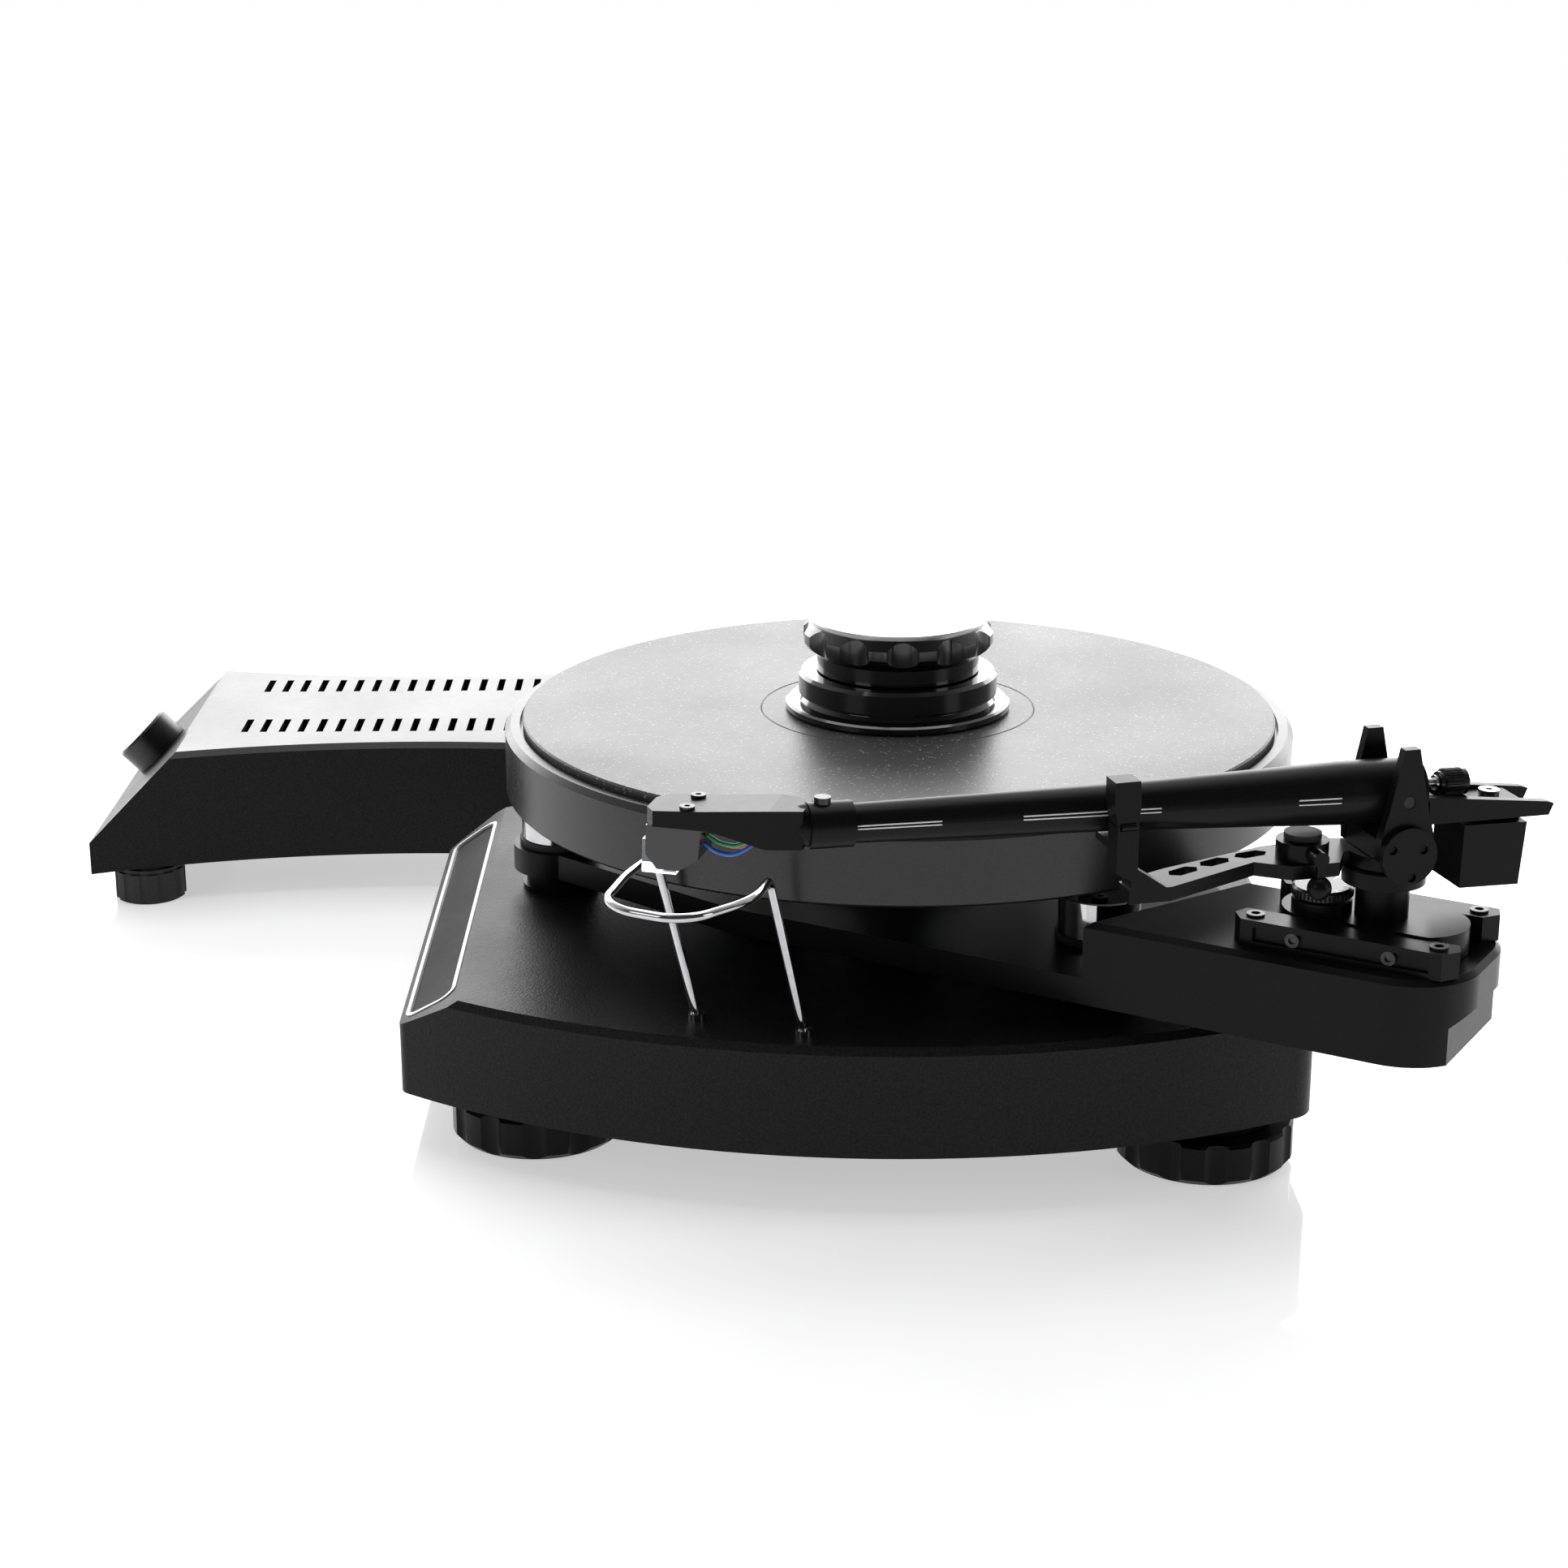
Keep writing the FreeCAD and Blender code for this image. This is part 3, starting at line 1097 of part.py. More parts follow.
def controller():
    high = S["case_top"] - S["case_under"]
    wall = S["case_wall"]
    outer = deck(slab("case_outer", case_outline(0), high - wall, case_bows()), S["case_under"])
    inner = deck(slab("case_inner", case_outline(wall), high, case_bows()), S["case_under"] + wall)
    slope_cut = front_wedge("case_slope_outer", 0)
    slope_keep = front_wedge("case_slope_inner", wall)
    hollow = cut("case_hollow", inner, [slope_keep])
    jack = deck(fused("case_jacks", [
        cylinder(5.5, 12, -240, S["case_rear"] + 4, 34, FreeCAD.Rotation(V(1, 0, 0), 90)),
        cylinder(5.5, 12, -215, S["case_rear"] + 4, 34, FreeCAD.Rotation(V(1, 0, 0), 90))]))
    spindle = knob_place(cylinder(3 + S["running_gap"], 12), -8)
    keep(cut("controller_case", outer, [hollow, slope_cut, jack, spindle]))
    lid = deck(slab("lid_blank", case_outline(0), wall, case_bows()), S["case_top"] - wall)
    vents = new("Part::Feature", "vent_slots")
    slots = []
    for x in (-204, -270):
        for number in range(24):
            y = -277 + S["vent_pitch"].value * number
            slots.append(Part.makeBox(S["vent_length"].value, S["vent_width"].value, 12,
                                      V(x - S["vent_length"].value / 2, y, -3)))
    vents.Shape = Part.makeCompound(slots)
    deck(vents, S["case_top"] - wall)
    keep(cut("controller_lid", lid, [front_wedge("lid_slope", 0), vents]))
    knob = turned("controller_knob", [
        (0, -7), (3, -7), (3, 0.3), (S["dial_knob_radius"], 0.3), (S["dial_knob_radius"], S["dial_knob_height"] - 1),
        (S["dial_knob_radius"] - 1, S["dial_knob_height"]), (0, S["dial_knob_height"])])
    keep(knob_place(knob, 0))
    feet_made = [case_foot(x, y) for x, y in ((-172, -316), (-282, -316), (-176, -84), (-282, -84))]
    keep(deck(fused("controller_feet", feet_made)))
    keep(deck(fused("controller_board", [
        block(70, 150, 1.6, -232, -190, S["case_under"] + wall),
        cylinder(24, 26, -232, -150, S["case_under"] + wall), block(30, 40, 14, -232, -220, S["case_under"] + wall)])))
    flat = FreeCAD.Rotation(V(1, 0, 0), 90)
    jacks = []
    for x in (-240, -215):
        barrel = fused(helper_name("barrel"), [cylinder(5.4, 9, x, S["case_rear"], 34, flat),
                                               cylinder(7, 1.4, x, S["case_rear"] + 1.4, 34, flat)])
        bore = cylinder(3, 7, x, S["case_rear"] + 1.6, 34, flat)
        jacks.append(cut(helper_name("jack"), barrel, [bore]))
    keep(deck(fused("controller_sockets", jacks)))


def case_foot(x, y):
    """A short fluted foot with a narrower neck under the case."""
    radius, high = S["case_foot_radius"], S["case_under"]
    whole = fused(helper_name("case_foot"), [cylinder(radius, high - 3.4, x, y, 0.6),
                                             cylinder(radius - 1, high - 1, x, y, 0),
                                             cylinder(radius - 3, high, x, y, 0)])
    flutes = [cylinder(3, high, as_size(x) + (radius + 2.1) * math.cos(math.radians(30 * step)),
                       as_size(y) + (radius + 2.1) * math.sin(math.radians(30 * step)), -1)
              for step in range(12)]
    return cut(helper_name("case_foot_cut"), whole, flutes)


def front_wedge(label, inset):
    """Everything in front of the controller's sloping face."""
    spill = 30
    back = S["case_front"] + S["case_slope"] + as_size(inset) * 1.4
    low = S["case_top"] - S["case_slope"]
    body = slab(label, [
        (back - S["case_slope"] - spill, low - spill), (back + spill, S["case_top"] + spill),
        (back - S["case_slope"] - spill, S["case_top"] + spill)], 700, role="YZ_Plane", middle=True)
    return deck(body)


def knob_place(item, raised):
    """On the middle of the controller's sloping face, standing along its normal."""
    half = S["case_slope"] / 2
    offset = as_size(raised) * math.sqrt(0.5)
    return place(item, -228, S["case_front"] + half - offset, S["case_top"] - half + offset,
                 FreeCAD.Rotation(0, 0, 45))


# --------------------------------------------------------------------------- build, check, export
plinth()
front_panel()
feet()
power_socket()
sub_chassis()
arm_board()
posts()
bearing()
platter()
motor()
belt()
clamp()
wire_guard()
rails()
carriage()
column()
rest_bracket()
rest_latch()
lift()
yoke()
arm_tube()
head()
leads()
rear_rails()
counterweight()
controller()
doc.recompute()

# centre the whole set on the origin
whole = FreeCAD.BoundBox()
for item in NODES:
    whole.add(item.Shape.BoundBox)
sheet.set("spindle_x", repr(-(whole.XMin + whole.XMax) / 2))
sheet.set("spindle_y", repr(-(whole.YMin + whole.YMax) / 2))
doc.recompute()

for item in doc.Objects:
    if "Invalid" in item.State or "Error" in item.State:
        raise RuntimeError(f"{item.Label} did not build: {item.State}")

os.makedirs("parts", exist_ok=True)
for item in NODES:
    shape = item.Shape
    if shape.isNull() or not shape.isValid() or shape.Volume <= 0:
        raise RuntimeError(f"{item.Label} has no valid solid")
    shape.exportStep(f"parts/{item.Label}.step")
print(len(NODES), "sub-parts written; spindle axis at", sheet.get("spindle_x"), sheet.get("spindle_y"))
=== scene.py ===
"""Record player on a pale studio floor: finishes, fine detail, light and camera.

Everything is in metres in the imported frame. Positions are read from the frame's own nodes, and each
sub-assembly is a class that holds its sizes, dresses its nodes and builds its fine detail.
"""
from __future__ import annotations

import json
import logging
import math
from dataclasses import dataclass, field
from enum import Enum
from typing import Iterable, Sequence

import bmesh
import bpy
from mathutils import Matrix, Vector

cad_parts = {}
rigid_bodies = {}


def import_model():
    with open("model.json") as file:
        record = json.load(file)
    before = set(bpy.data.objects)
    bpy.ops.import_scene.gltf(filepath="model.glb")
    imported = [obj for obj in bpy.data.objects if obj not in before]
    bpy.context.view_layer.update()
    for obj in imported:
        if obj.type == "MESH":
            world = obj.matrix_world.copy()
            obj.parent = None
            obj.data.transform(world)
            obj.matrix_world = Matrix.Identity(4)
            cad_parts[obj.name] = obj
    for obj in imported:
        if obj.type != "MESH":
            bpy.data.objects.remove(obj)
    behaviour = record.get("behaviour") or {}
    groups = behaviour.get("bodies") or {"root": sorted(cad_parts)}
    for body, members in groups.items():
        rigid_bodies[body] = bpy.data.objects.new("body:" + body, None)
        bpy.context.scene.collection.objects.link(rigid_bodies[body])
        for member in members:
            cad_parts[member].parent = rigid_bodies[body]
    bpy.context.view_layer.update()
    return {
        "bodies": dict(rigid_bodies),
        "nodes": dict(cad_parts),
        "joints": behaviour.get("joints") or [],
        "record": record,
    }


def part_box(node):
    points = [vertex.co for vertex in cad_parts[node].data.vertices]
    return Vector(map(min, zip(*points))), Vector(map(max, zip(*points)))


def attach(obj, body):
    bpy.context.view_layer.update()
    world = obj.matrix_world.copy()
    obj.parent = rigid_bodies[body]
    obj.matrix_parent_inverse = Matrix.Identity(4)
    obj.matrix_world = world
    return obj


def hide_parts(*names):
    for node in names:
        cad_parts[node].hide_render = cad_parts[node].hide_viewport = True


LOG = logging.getLogger("record_player")
Colour = tuple[float, float, float]


# ------------------------------------------------------------------ shader effects
class Effect(Enum):
    """The shader effects that more than one finish shares."""

    GRAIN = "surface_grain"
    HANDLING = "handling_marks"
    TURNING = "turning_lines"
    SPECKLE = "carbon_speckle"


class EffectLibrary:
    """Builds each shared shader node group once and hands it out."""

    grain_detail = 3.0
    grain_band = (0.35, 0.68)
    patch_scale = 14.0
    patch_detail = 2.0
    scuff_scale = 260.0
    scuff_detail = 4.0
    scuff_share = 0.35
    handling_band = (0.45, 0.95)
    line_detail = 2.0
    fleck_band = (0.45, 0.15)

    def __init__(self) -> None:
        """Start with no groups made."""
        self._made: dict[Effect, bpy.types.NodeTree] = {}

    def get(self, effect: Effect) -> bpy.types.NodeTree:
        """Return the group for an effect, building it the first time.

        Args:
            effect: Which effect is wanted.

        Returns:
            The shader node group.
        """
        if effect not in self._made:
            builders = {
                Effect.GRAIN: self._grain,
                Effect.HANDLING: self._handling,
                Effect.TURNING: self._turning,
                Effect.SPECKLE: self._speckle,
            }
            self._made[effect] = builders[effect]()
        return self._made[effect]

    @staticmethod
    def _shell(
        name: str, inputs: Sequence[tuple[str, str, object]], outputs: Sequence[tuple[str, str]]
    ) -> tuple[bpy.types.NodeTree, bpy.types.Node, bpy.types.Node]:
        """Make an empty group with its sockets.

        Args:
            name: Name of the group.
            inputs: Name, socket type and default of each input.
            outputs: Name and socket type of each output.

        Returns:
            The tree, its input node and its output node.
        """
        tree = bpy.data.node_groups.new(name, "ShaderNodeTree")
        for label, kind, default in inputs:
            socket = tree.interface.new_socket(name=label, in_out="INPUT", socket_type=kind)
            if default is not None:
                socket.default_value = default
        for label, kind in outputs:
            tree.interface.new_socket(name=label, in_out="OUTPUT", socket_type=kind)
        return tree, tree.nodes.new("NodeGroupInput"), tree.nodes.new("NodeGroupOutput")

    def _grain(self) -> bpy.types.NodeTree:
        """Fine random grain, as in powder coat or a bead-blasted face.

        Returns:
            The shader node group.
        """
        tree, given, out = self._shell(
            Effect.GRAIN.value,
            [("Vector", "NodeSocketVector", None), ("Scale", "NodeSocketFloat", 900.0),
             ("Softness", "NodeSocketFloat", 0.5)],
            [("Height", "NodeSocketFloat"), ("Mask", "NodeSocketFloat")])
        noise = tree.nodes.new("ShaderNodeTexNoise")
        noise.inputs["Detail"].default_value = self.grain_detail
        tree.links.new(given.outputs["Vector"], noise.inputs["Vector"])
        tree.links.new(given.outputs["Scale"], noise.inputs["Scale"])
        tree.links.new(given.outputs["Softness"], noise.inputs["Roughness"])
        ramp = tree.nodes.new("ShaderNodeMapRange")
        ramp.inputs["From Min"].default_value, ramp.inputs["From Max"].default_value = self.grain_band
        tree.links.new(noise.outputs["Fac"], ramp.inputs["Value"])
        tree.links.new(noise.outputs["Fac"], out.inputs["Height"])
        tree.links.new(ramp.outputs["Result"], out.inputs["Mask"])
        return tree

    def _handling(self) -> bpy.types.NodeTree:
        """Broad faint patches and hairline scuffs that vary how a face shines.

        Returns:
            The shader node group.
        """
        tree, given, out = self._shell(
            Effect.HANDLING.value,
            [("Vector", "NodeSocketVector", None), ("Low", "NodeSocketFloat", 0.3),
             ("High", "NodeSocketFloat", 0.4)],
            [("Roughness", "NodeSocketFloat")])
        broad = tree.nodes.new("ShaderNodeTexNoise")
        broad.inputs["Scale"].default_value = self.patch_scale
        broad.inputs["Detail"].default_value = self.patch_detail
        scuffs = tree.nodes.new("ShaderNodeTexNoise")
        scuffs.inputs["Scale"].default_value = self.scuff_scale
        scuffs.inputs["Detail"].default_value = self.scuff_detail
        mixed = tree.nodes.new("ShaderNodeMath")
        mixed.operation = "MULTIPLY_ADD"
        mixed.inputs[1].default_value = self.scuff_share
        tree.links.new(given.outputs["Vector"], broad.inputs["Vector"])
        tree.links.new(given.outputs["Vector"], scuffs.inputs["Vector"])
        tree.links.new(scuffs.outputs["Fac"], mixed.inputs[0])
        tree.links.new(broad.outputs["Fac"], mixed.inputs[2])
        ramp = tree.nodes.new("ShaderNodeMapRange")
        ramp.inputs["From Min"].default_value, ramp.inputs["From Max"].default_value = self.handling_band
        tree.links.new(mixed.outputs[0], ramp.inputs["Value"])
        tree.links.new(given.outputs["Low"], ramp.inputs["To Min"])
        tree.links.new(given.outputs["High"], ramp.inputs["To Max"])
        tree.links.new(ramp.outputs["Result"], out.inputs["Roughness"])
        return tree

    def _turning(self) -> bpy.types.NodeTree:
        """Fine concentric tool lines about an upright axis, spaced by radius and height together.

        Returns:
            The shader node group.
        """
        tree, given, out = self._shell(
            Effect.TURNING.value,
            [("Vector", "NodeSocketVector", None), ("Centre", "NodeSocketVector", None),
             ("Pitch", "NodeSocketFloat", 0.0006)],
            [("Height", "NodeSocketFloat")])
        shift = tree.nodes.new("ShaderNodeVectorMath")
        shift.operation = "SUBTRACT"
        tree.links.new(given.outputs["Vector"], shift.inputs[0])
        tree.links.new(given.outputs["Centre"], shift.inputs[1])
        flat = tree.nodes.new("ShaderNodeVectorMath")
        flat.operation = "MULTIPLY"
        flat.inputs[1].default_value = (1.0, 1.0, 0.0)
        tree.links.new(shift.outputs[0], flat.inputs[0])
        reach = tree.nodes.new("ShaderNodeVectorMath")
        reach.operation = "LENGTH"
        tree.links.new(flat.outputs[0], reach.inputs[0])
        height = tree.nodes.new("ShaderNodeSeparateXYZ")
        tree.links.new(given.outputs["Vector"], height.inputs[0])
        along = tree.nodes.new("ShaderNodeMath")
        tree.links.new(reach.outputs["Value"], along.inputs[0])
        tree.links.new(height.outputs["Z"], along.inputs[1])
        turns = tree.nodes.new("ShaderNodeMath")
        turns.operation = "DIVIDE"
        tree.links.new(along.outputs[0], turns.inputs[0])
        tree.links.new(given.outputs["Pitch"], turns.inputs[1])
        lines = tree.nodes.new("ShaderNodeTexNoise")
        lines.noise_dimensions = "1D"
        lines.inputs["Scale"].default_value = 1.0
        lines.inputs["Detail"].default_value = self.line_detail
        tree.links.new(turns.outputs[0], lines.inputs["W"])
        tree.links.new(lines.outputs["Fac"], out.inputs["Height"])
        return tree

    def _speckle(self) -> bpy.types.NodeTree:
        """Scattered light flecks in a dark mat.

        Returns:
            The shader node group.
        """
        tree, given, out = self._shell(
            Effect.SPECKLE.value,
            [("Vector", "NodeSocketVector", None), ("Scale", "NodeSocketFloat", 700.0),
             ("Amount", "NodeSocketFloat", 0.2)],
            [("Mask", "NodeSocketFloat"), ("Height", "NodeSocketFloat")])
        cells = tree.nodes.new("ShaderNodeTexVoronoi")
        tree.links.new(given.outputs["Vector"], cells.inputs["Vector"])
        tree.links.new(given.outputs["Scale"], cells.inputs["Scale"])
        split = tree.nodes.new("ShaderNodeSeparateColor")
        tree.links.new(cells.outputs["Color"], split.inputs["Color"])
        picked = tree.nodes.new("ShaderNodeMath")
        picked.operation = "LESS_THAN"
        tree.links.new(split.outputs[0], picked.inputs[0])
        tree.links.new(given.outputs["Amount"], picked.inputs[1])
        core = tree.nodes.new("ShaderNodeMapRange")
        core.inputs["From Min"].default_value, core.inputs["From Max"].default_value = self.fleck_band
        tree.links.new(cells.outputs["Distance"], core.inputs["Value"])
        both = tree.nodes.new("ShaderNodeMath")
        both.operation = "MULTIPLY"
        tree.links.new(picked.outputs[0], both.inputs[0])
        tree.links.new(core.outputs["Result"], both.inputs[1])
        tree.links.new(both.outputs[0], out.inputs["Mask"])
        tree.links.new(cells.outputs["Distance"], out.inputs["Height"])
        return tree


# ------------------------------------------------------------------ finishes
@dataclass(frozen=True)
class Finish:
    """One surface finish of the record player."""

    name: str
    colour: Colour
    second: Colour
    rough: tuple[float, float]
    metallic: float = 0.0
    grain_scale: float = 900.0
    grain_depth: float = 0.00002
    speckle: float = 0.0
    turned_pitch: float = 0.0
    coat: float = 0.0
    clear: float = 0.0
    ior: float = 1.5
    specular: float = 0.5
    glow: float = 0.0


class FinishBook:
    """Turns finishes into materials, each made once for each turning centre."""

    coat_roughness = 0.06
    bump_strength = 0.6

    def __init__(self, effects: EffectLibrary) -> None:
        """Keep the shared effects at hand."""
        self.effects = effects
        self._made: dict[tuple[str, tuple[float, ...]], bpy.types.Material] = {}

    def material(self, finish: Finish, centre: Vector | None = None) -> bpy.types.Material:
        """Return the material of a finish.

        Args:
            finish: The finish to make.
            centre: A point on the upright axis the piece was turned about, if it was.

        Returns:
            The material.
        """
        centre = centre or Vector((0.0, 0.0, 0.0))
        key = (finish.name, tuple(round(c, 4) for c in centre) if finish.turned_pitch else ())
        if key not in self._made:
            self._made[key] = self._build(finish, centre, len(self._made))
        return self._made[key]

    def _group(self, tree: bpy.types.NodeTree, effect: Effect,
               place: bpy.types.NodeSocket) -> bpy.types.Node:
        """Drop a shared effect into a material and feed it the piece's own coordinates.

        Args:
            tree: The material's node tree.
            effect: The effect to place.
            place: The socket that gives the coordinates.

        Returns:
            The group node.
        """
        node = tree.nodes.new("ShaderNodeGroup")
        node.node_tree = self.effects.get(effect)
        tree.links.new(place, node.inputs["Vector"])
        return node

    def _build(self, finish: Finish, centre: Vector, number: int) -> bpy.types.Material:
        """Build one material's node tree.

        Args:
            finish: The finish to make.
            centre: A point on the upright axis that turned finishes go round.
            number: A running number that keeps the material's name its own.

        Returns:
            The material.
        """
        material = bpy.data.materials.new(f"{finish.name}_{number}")
        material.use_nodes = True
        tree = material.node_tree
        shader = tree.nodes["Principled BSDF"]
        shader.inputs["Metallic"].default_value = finish.metallic
        shader.inputs["Coat Weight"].default_value = finish.coat
        shader.inputs["Coat Roughness"].default_value = self.coat_roughness
        shader.inputs["IOR"].default_value = finish.ior
        shader.inputs["Specular IOR Level"].default_value = finish.specular
        shader.inputs["Transmission Weight"].default_value = finish.clear
        shader.inputs["Emission Color"].default_value = (1.0, 1.0, 1.0, 1.0)
        shader.inputs["Emission Strength"].default_value = finish.glow
        place = tree.nodes.new("ShaderNodeTexCoord").outputs["Object"]

        handling = self._group(tree, Effect.HANDLING, place)
        handling.inputs["Low"].default_value, handling.inputs["High"].default_value = finish.rough
        tree.links.new(handling.outputs["Roughness"], shader.inputs["Roughness"])

        if finish.speckle:
            flecks = self._group(tree, Effect.SPECKLE, place)
            flecks.inputs["Scale"].default_value = finish.grain_scale
            flecks.inputs["Amount"].default_value = finish.speckle
        else:
            flecks = self._group(tree, Effect.GRAIN, place)
            flecks.inputs["Scale"].default_value = finish.grain_scale
        blend = tree.nodes.new("ShaderNodeMix")
        blend.data_type = "RGBA"
        blend.inputs["A"].default_value = (*finish.colour, 1.0)
        blend.inputs["B"].default_value = (*finish.second, 1.0)
        tree.links.new(flecks.outputs["Mask"], blend.inputs["Factor"])
        tree.links.new(blend.outputs["Result"], shader.inputs["Base Color"])

        bump = tree.nodes.new("ShaderNodeBump")
        bump.inputs["Strength"].default_value = self.bump_strength
        bump.inputs["Distance"].default_value = finish.grain_depth
        if finish.turned_pitch:
            turning = self._group(tree, Effect.TURNING, place)
            turning.inputs["Centre"].default_value = centre
            turning.inputs["Pitch"].default_value = finish.turned_pitch
            tree.links.new(turning.outputs["Height"], bump.inputs["Height"])
        else:
            tree.links.new(flecks.outputs["Height"], bump.inputs["Height"])
        tree.links.new(bump.outputs["Normal"], shader.inputs["Normal"])
        return material


POWDER = Finish("powder_coat", (0.006, 0.006, 0.0065), (0.014, 0.014, 0.0145), (0.36, 0.46),
                grain_scale=1100.0, grain_depth=0.0002, specular=0.15)
LID = Finish("case_lid", (0.012, 0.012, 0.0125), (0.02, 0.02, 0.021), (0.3, 0.38),
             grain_scale=1100.0, grain_depth=0.00008, specular=0.7)
PANEL = Finish("slope_panel", (0.006, 0.006, 0.0065), (0.012, 0.012, 0.013), (0.5, 0.6),
               grain_scale=1600.0, grain_depth=0.00006, specular=0.08)
ANODISED = Finish("black_anodised", (0.004, 0.004, 0.0045), (0.007, 0.007, 0.0075), (0.27, 0.36),
                  grain_scale=2600.0, grain_depth=0.00002, specular=0.13)
TURNED_BLACK = Finish("turned_black", (0.007, 0.007, 0.0075), (0.012, 0.012, 0.0125), (0.26, 0.34),
                      turned_pitch=0.0005, grain_depth=0.00001)
POLISHED_BLACK = Finish("polished_black", (0.006, 0.006, 0.0065), (0.009, 0.009, 0.0095), (0.1, 0.17),
                        grain_scale=1800.0, grain_depth=0.000004, coat=0.5)
CLAMP_DISC = Finish("clamp_disc", (0.42, 0.42, 0.43), (0.47, 0.47, 0.48), (0.3, 0.38), metallic=1.0,
                    turned_pitch=0.0004, grain_depth=0.000004)
CHROME = Finish("bright_chrome", (0.5, 0.5, 0.51), (0.56, 0.56, 0.57), (0.05, 0.1), metallic=1.0,
                grain_scale=300.0, grain_depth=0.000002)
STEEL = Finish("turned_steel", (0.52, 0.52, 0.53), (0.62, 0.62, 0.63), (0.18, 0.28), metallic=1.0,
               grain_scale=1500.0, grain_depth=0.000006)
DARK_STEEL = Finish("blackened_screw", (0.03, 0.03, 0.032), (0.06, 0.06, 0.06), (0.22, 0.32), metallic=0.7,
                    grain_scale=1500.0, grain_depth=0.000006)
BRASS = Finish("turned_brass", (0.7, 0.52, 0.25), (0.78, 0.6, 0.3), (0.2, 0.3), metallic=1.0,
               grain_scale=1400.0, grain_depth=0.000006)
RUBBER = Finish("black_rubber", (0.012, 0.012, 0.012), (0.02, 0.02, 0.02), (0.6, 0.75),
                grain_scale=1300.0, grain_depth=0.00004)
CARBON_MAT = Finish("carbon_mat", (0.06, 0.06, 0.061), (0.34, 0.34, 0.34), (0.34, 0.42),
                    grain_scale=900.0, grain_depth=0.00005, speckle=0.16, specular=0.35)
PLASTIC = Finish("moulded_plastic", (0.014, 0.014, 0.015), (0.02, 0.02, 0.021), (0.4, 0.5),
                 grain_scale=1000.0, grain_depth=0.00003)
CLEAR = Finish("clear_guard", (0.85, 0.87, 0.9), (0.8, 0.82, 0.85), (0.06, 0.12), clear=0.9,
               grain_scale=300.0, grain_depth=0.000002)
CIRCUIT = Finish("circuit_board", (0.02, 0.12, 0.05), (0.03, 0.16, 0.07), (0.35, 0.45),
                 grain_scale=400.0, grain_depth=0.00002)
SILVER_LINE = Finish("silver_line", (0.75, 0.75, 0.76), (0.82, 0.82, 0.83), (0.3, 0.4), metallic=0.3,
                     grain_scale=900.0, grain_depth=0.000004)
LEAD_WHITE = Finish("lead_white", (0.78, 0.78, 0.77), (0.84, 0.84, 0.83), (0.3, 0.4))
LEAD_RED = Finish("lead_red", (0.6, 0.03, 0.03), (0.68, 0.05, 0.04), (0.3, 0.4))
LEAD_BLUE = Finish("lead_blue", (0.03, 0.12, 0.5), (0.04, 0.16, 0.58), (0.3, 0.4))
LEAD_GREEN = Finish("lead_green", (0.03, 0.35, 0.12), (0.04, 0.42, 0.16), (0.3, 0.4))
FLOOR = Finish("studio_floor", (0.9, 0.9, 0.91), (0.93, 0.93, 0.94), (0.04, 0.08),
               grain_scale=30.0, grain_depth=0.000002, specular=0.5, glow=0.5)


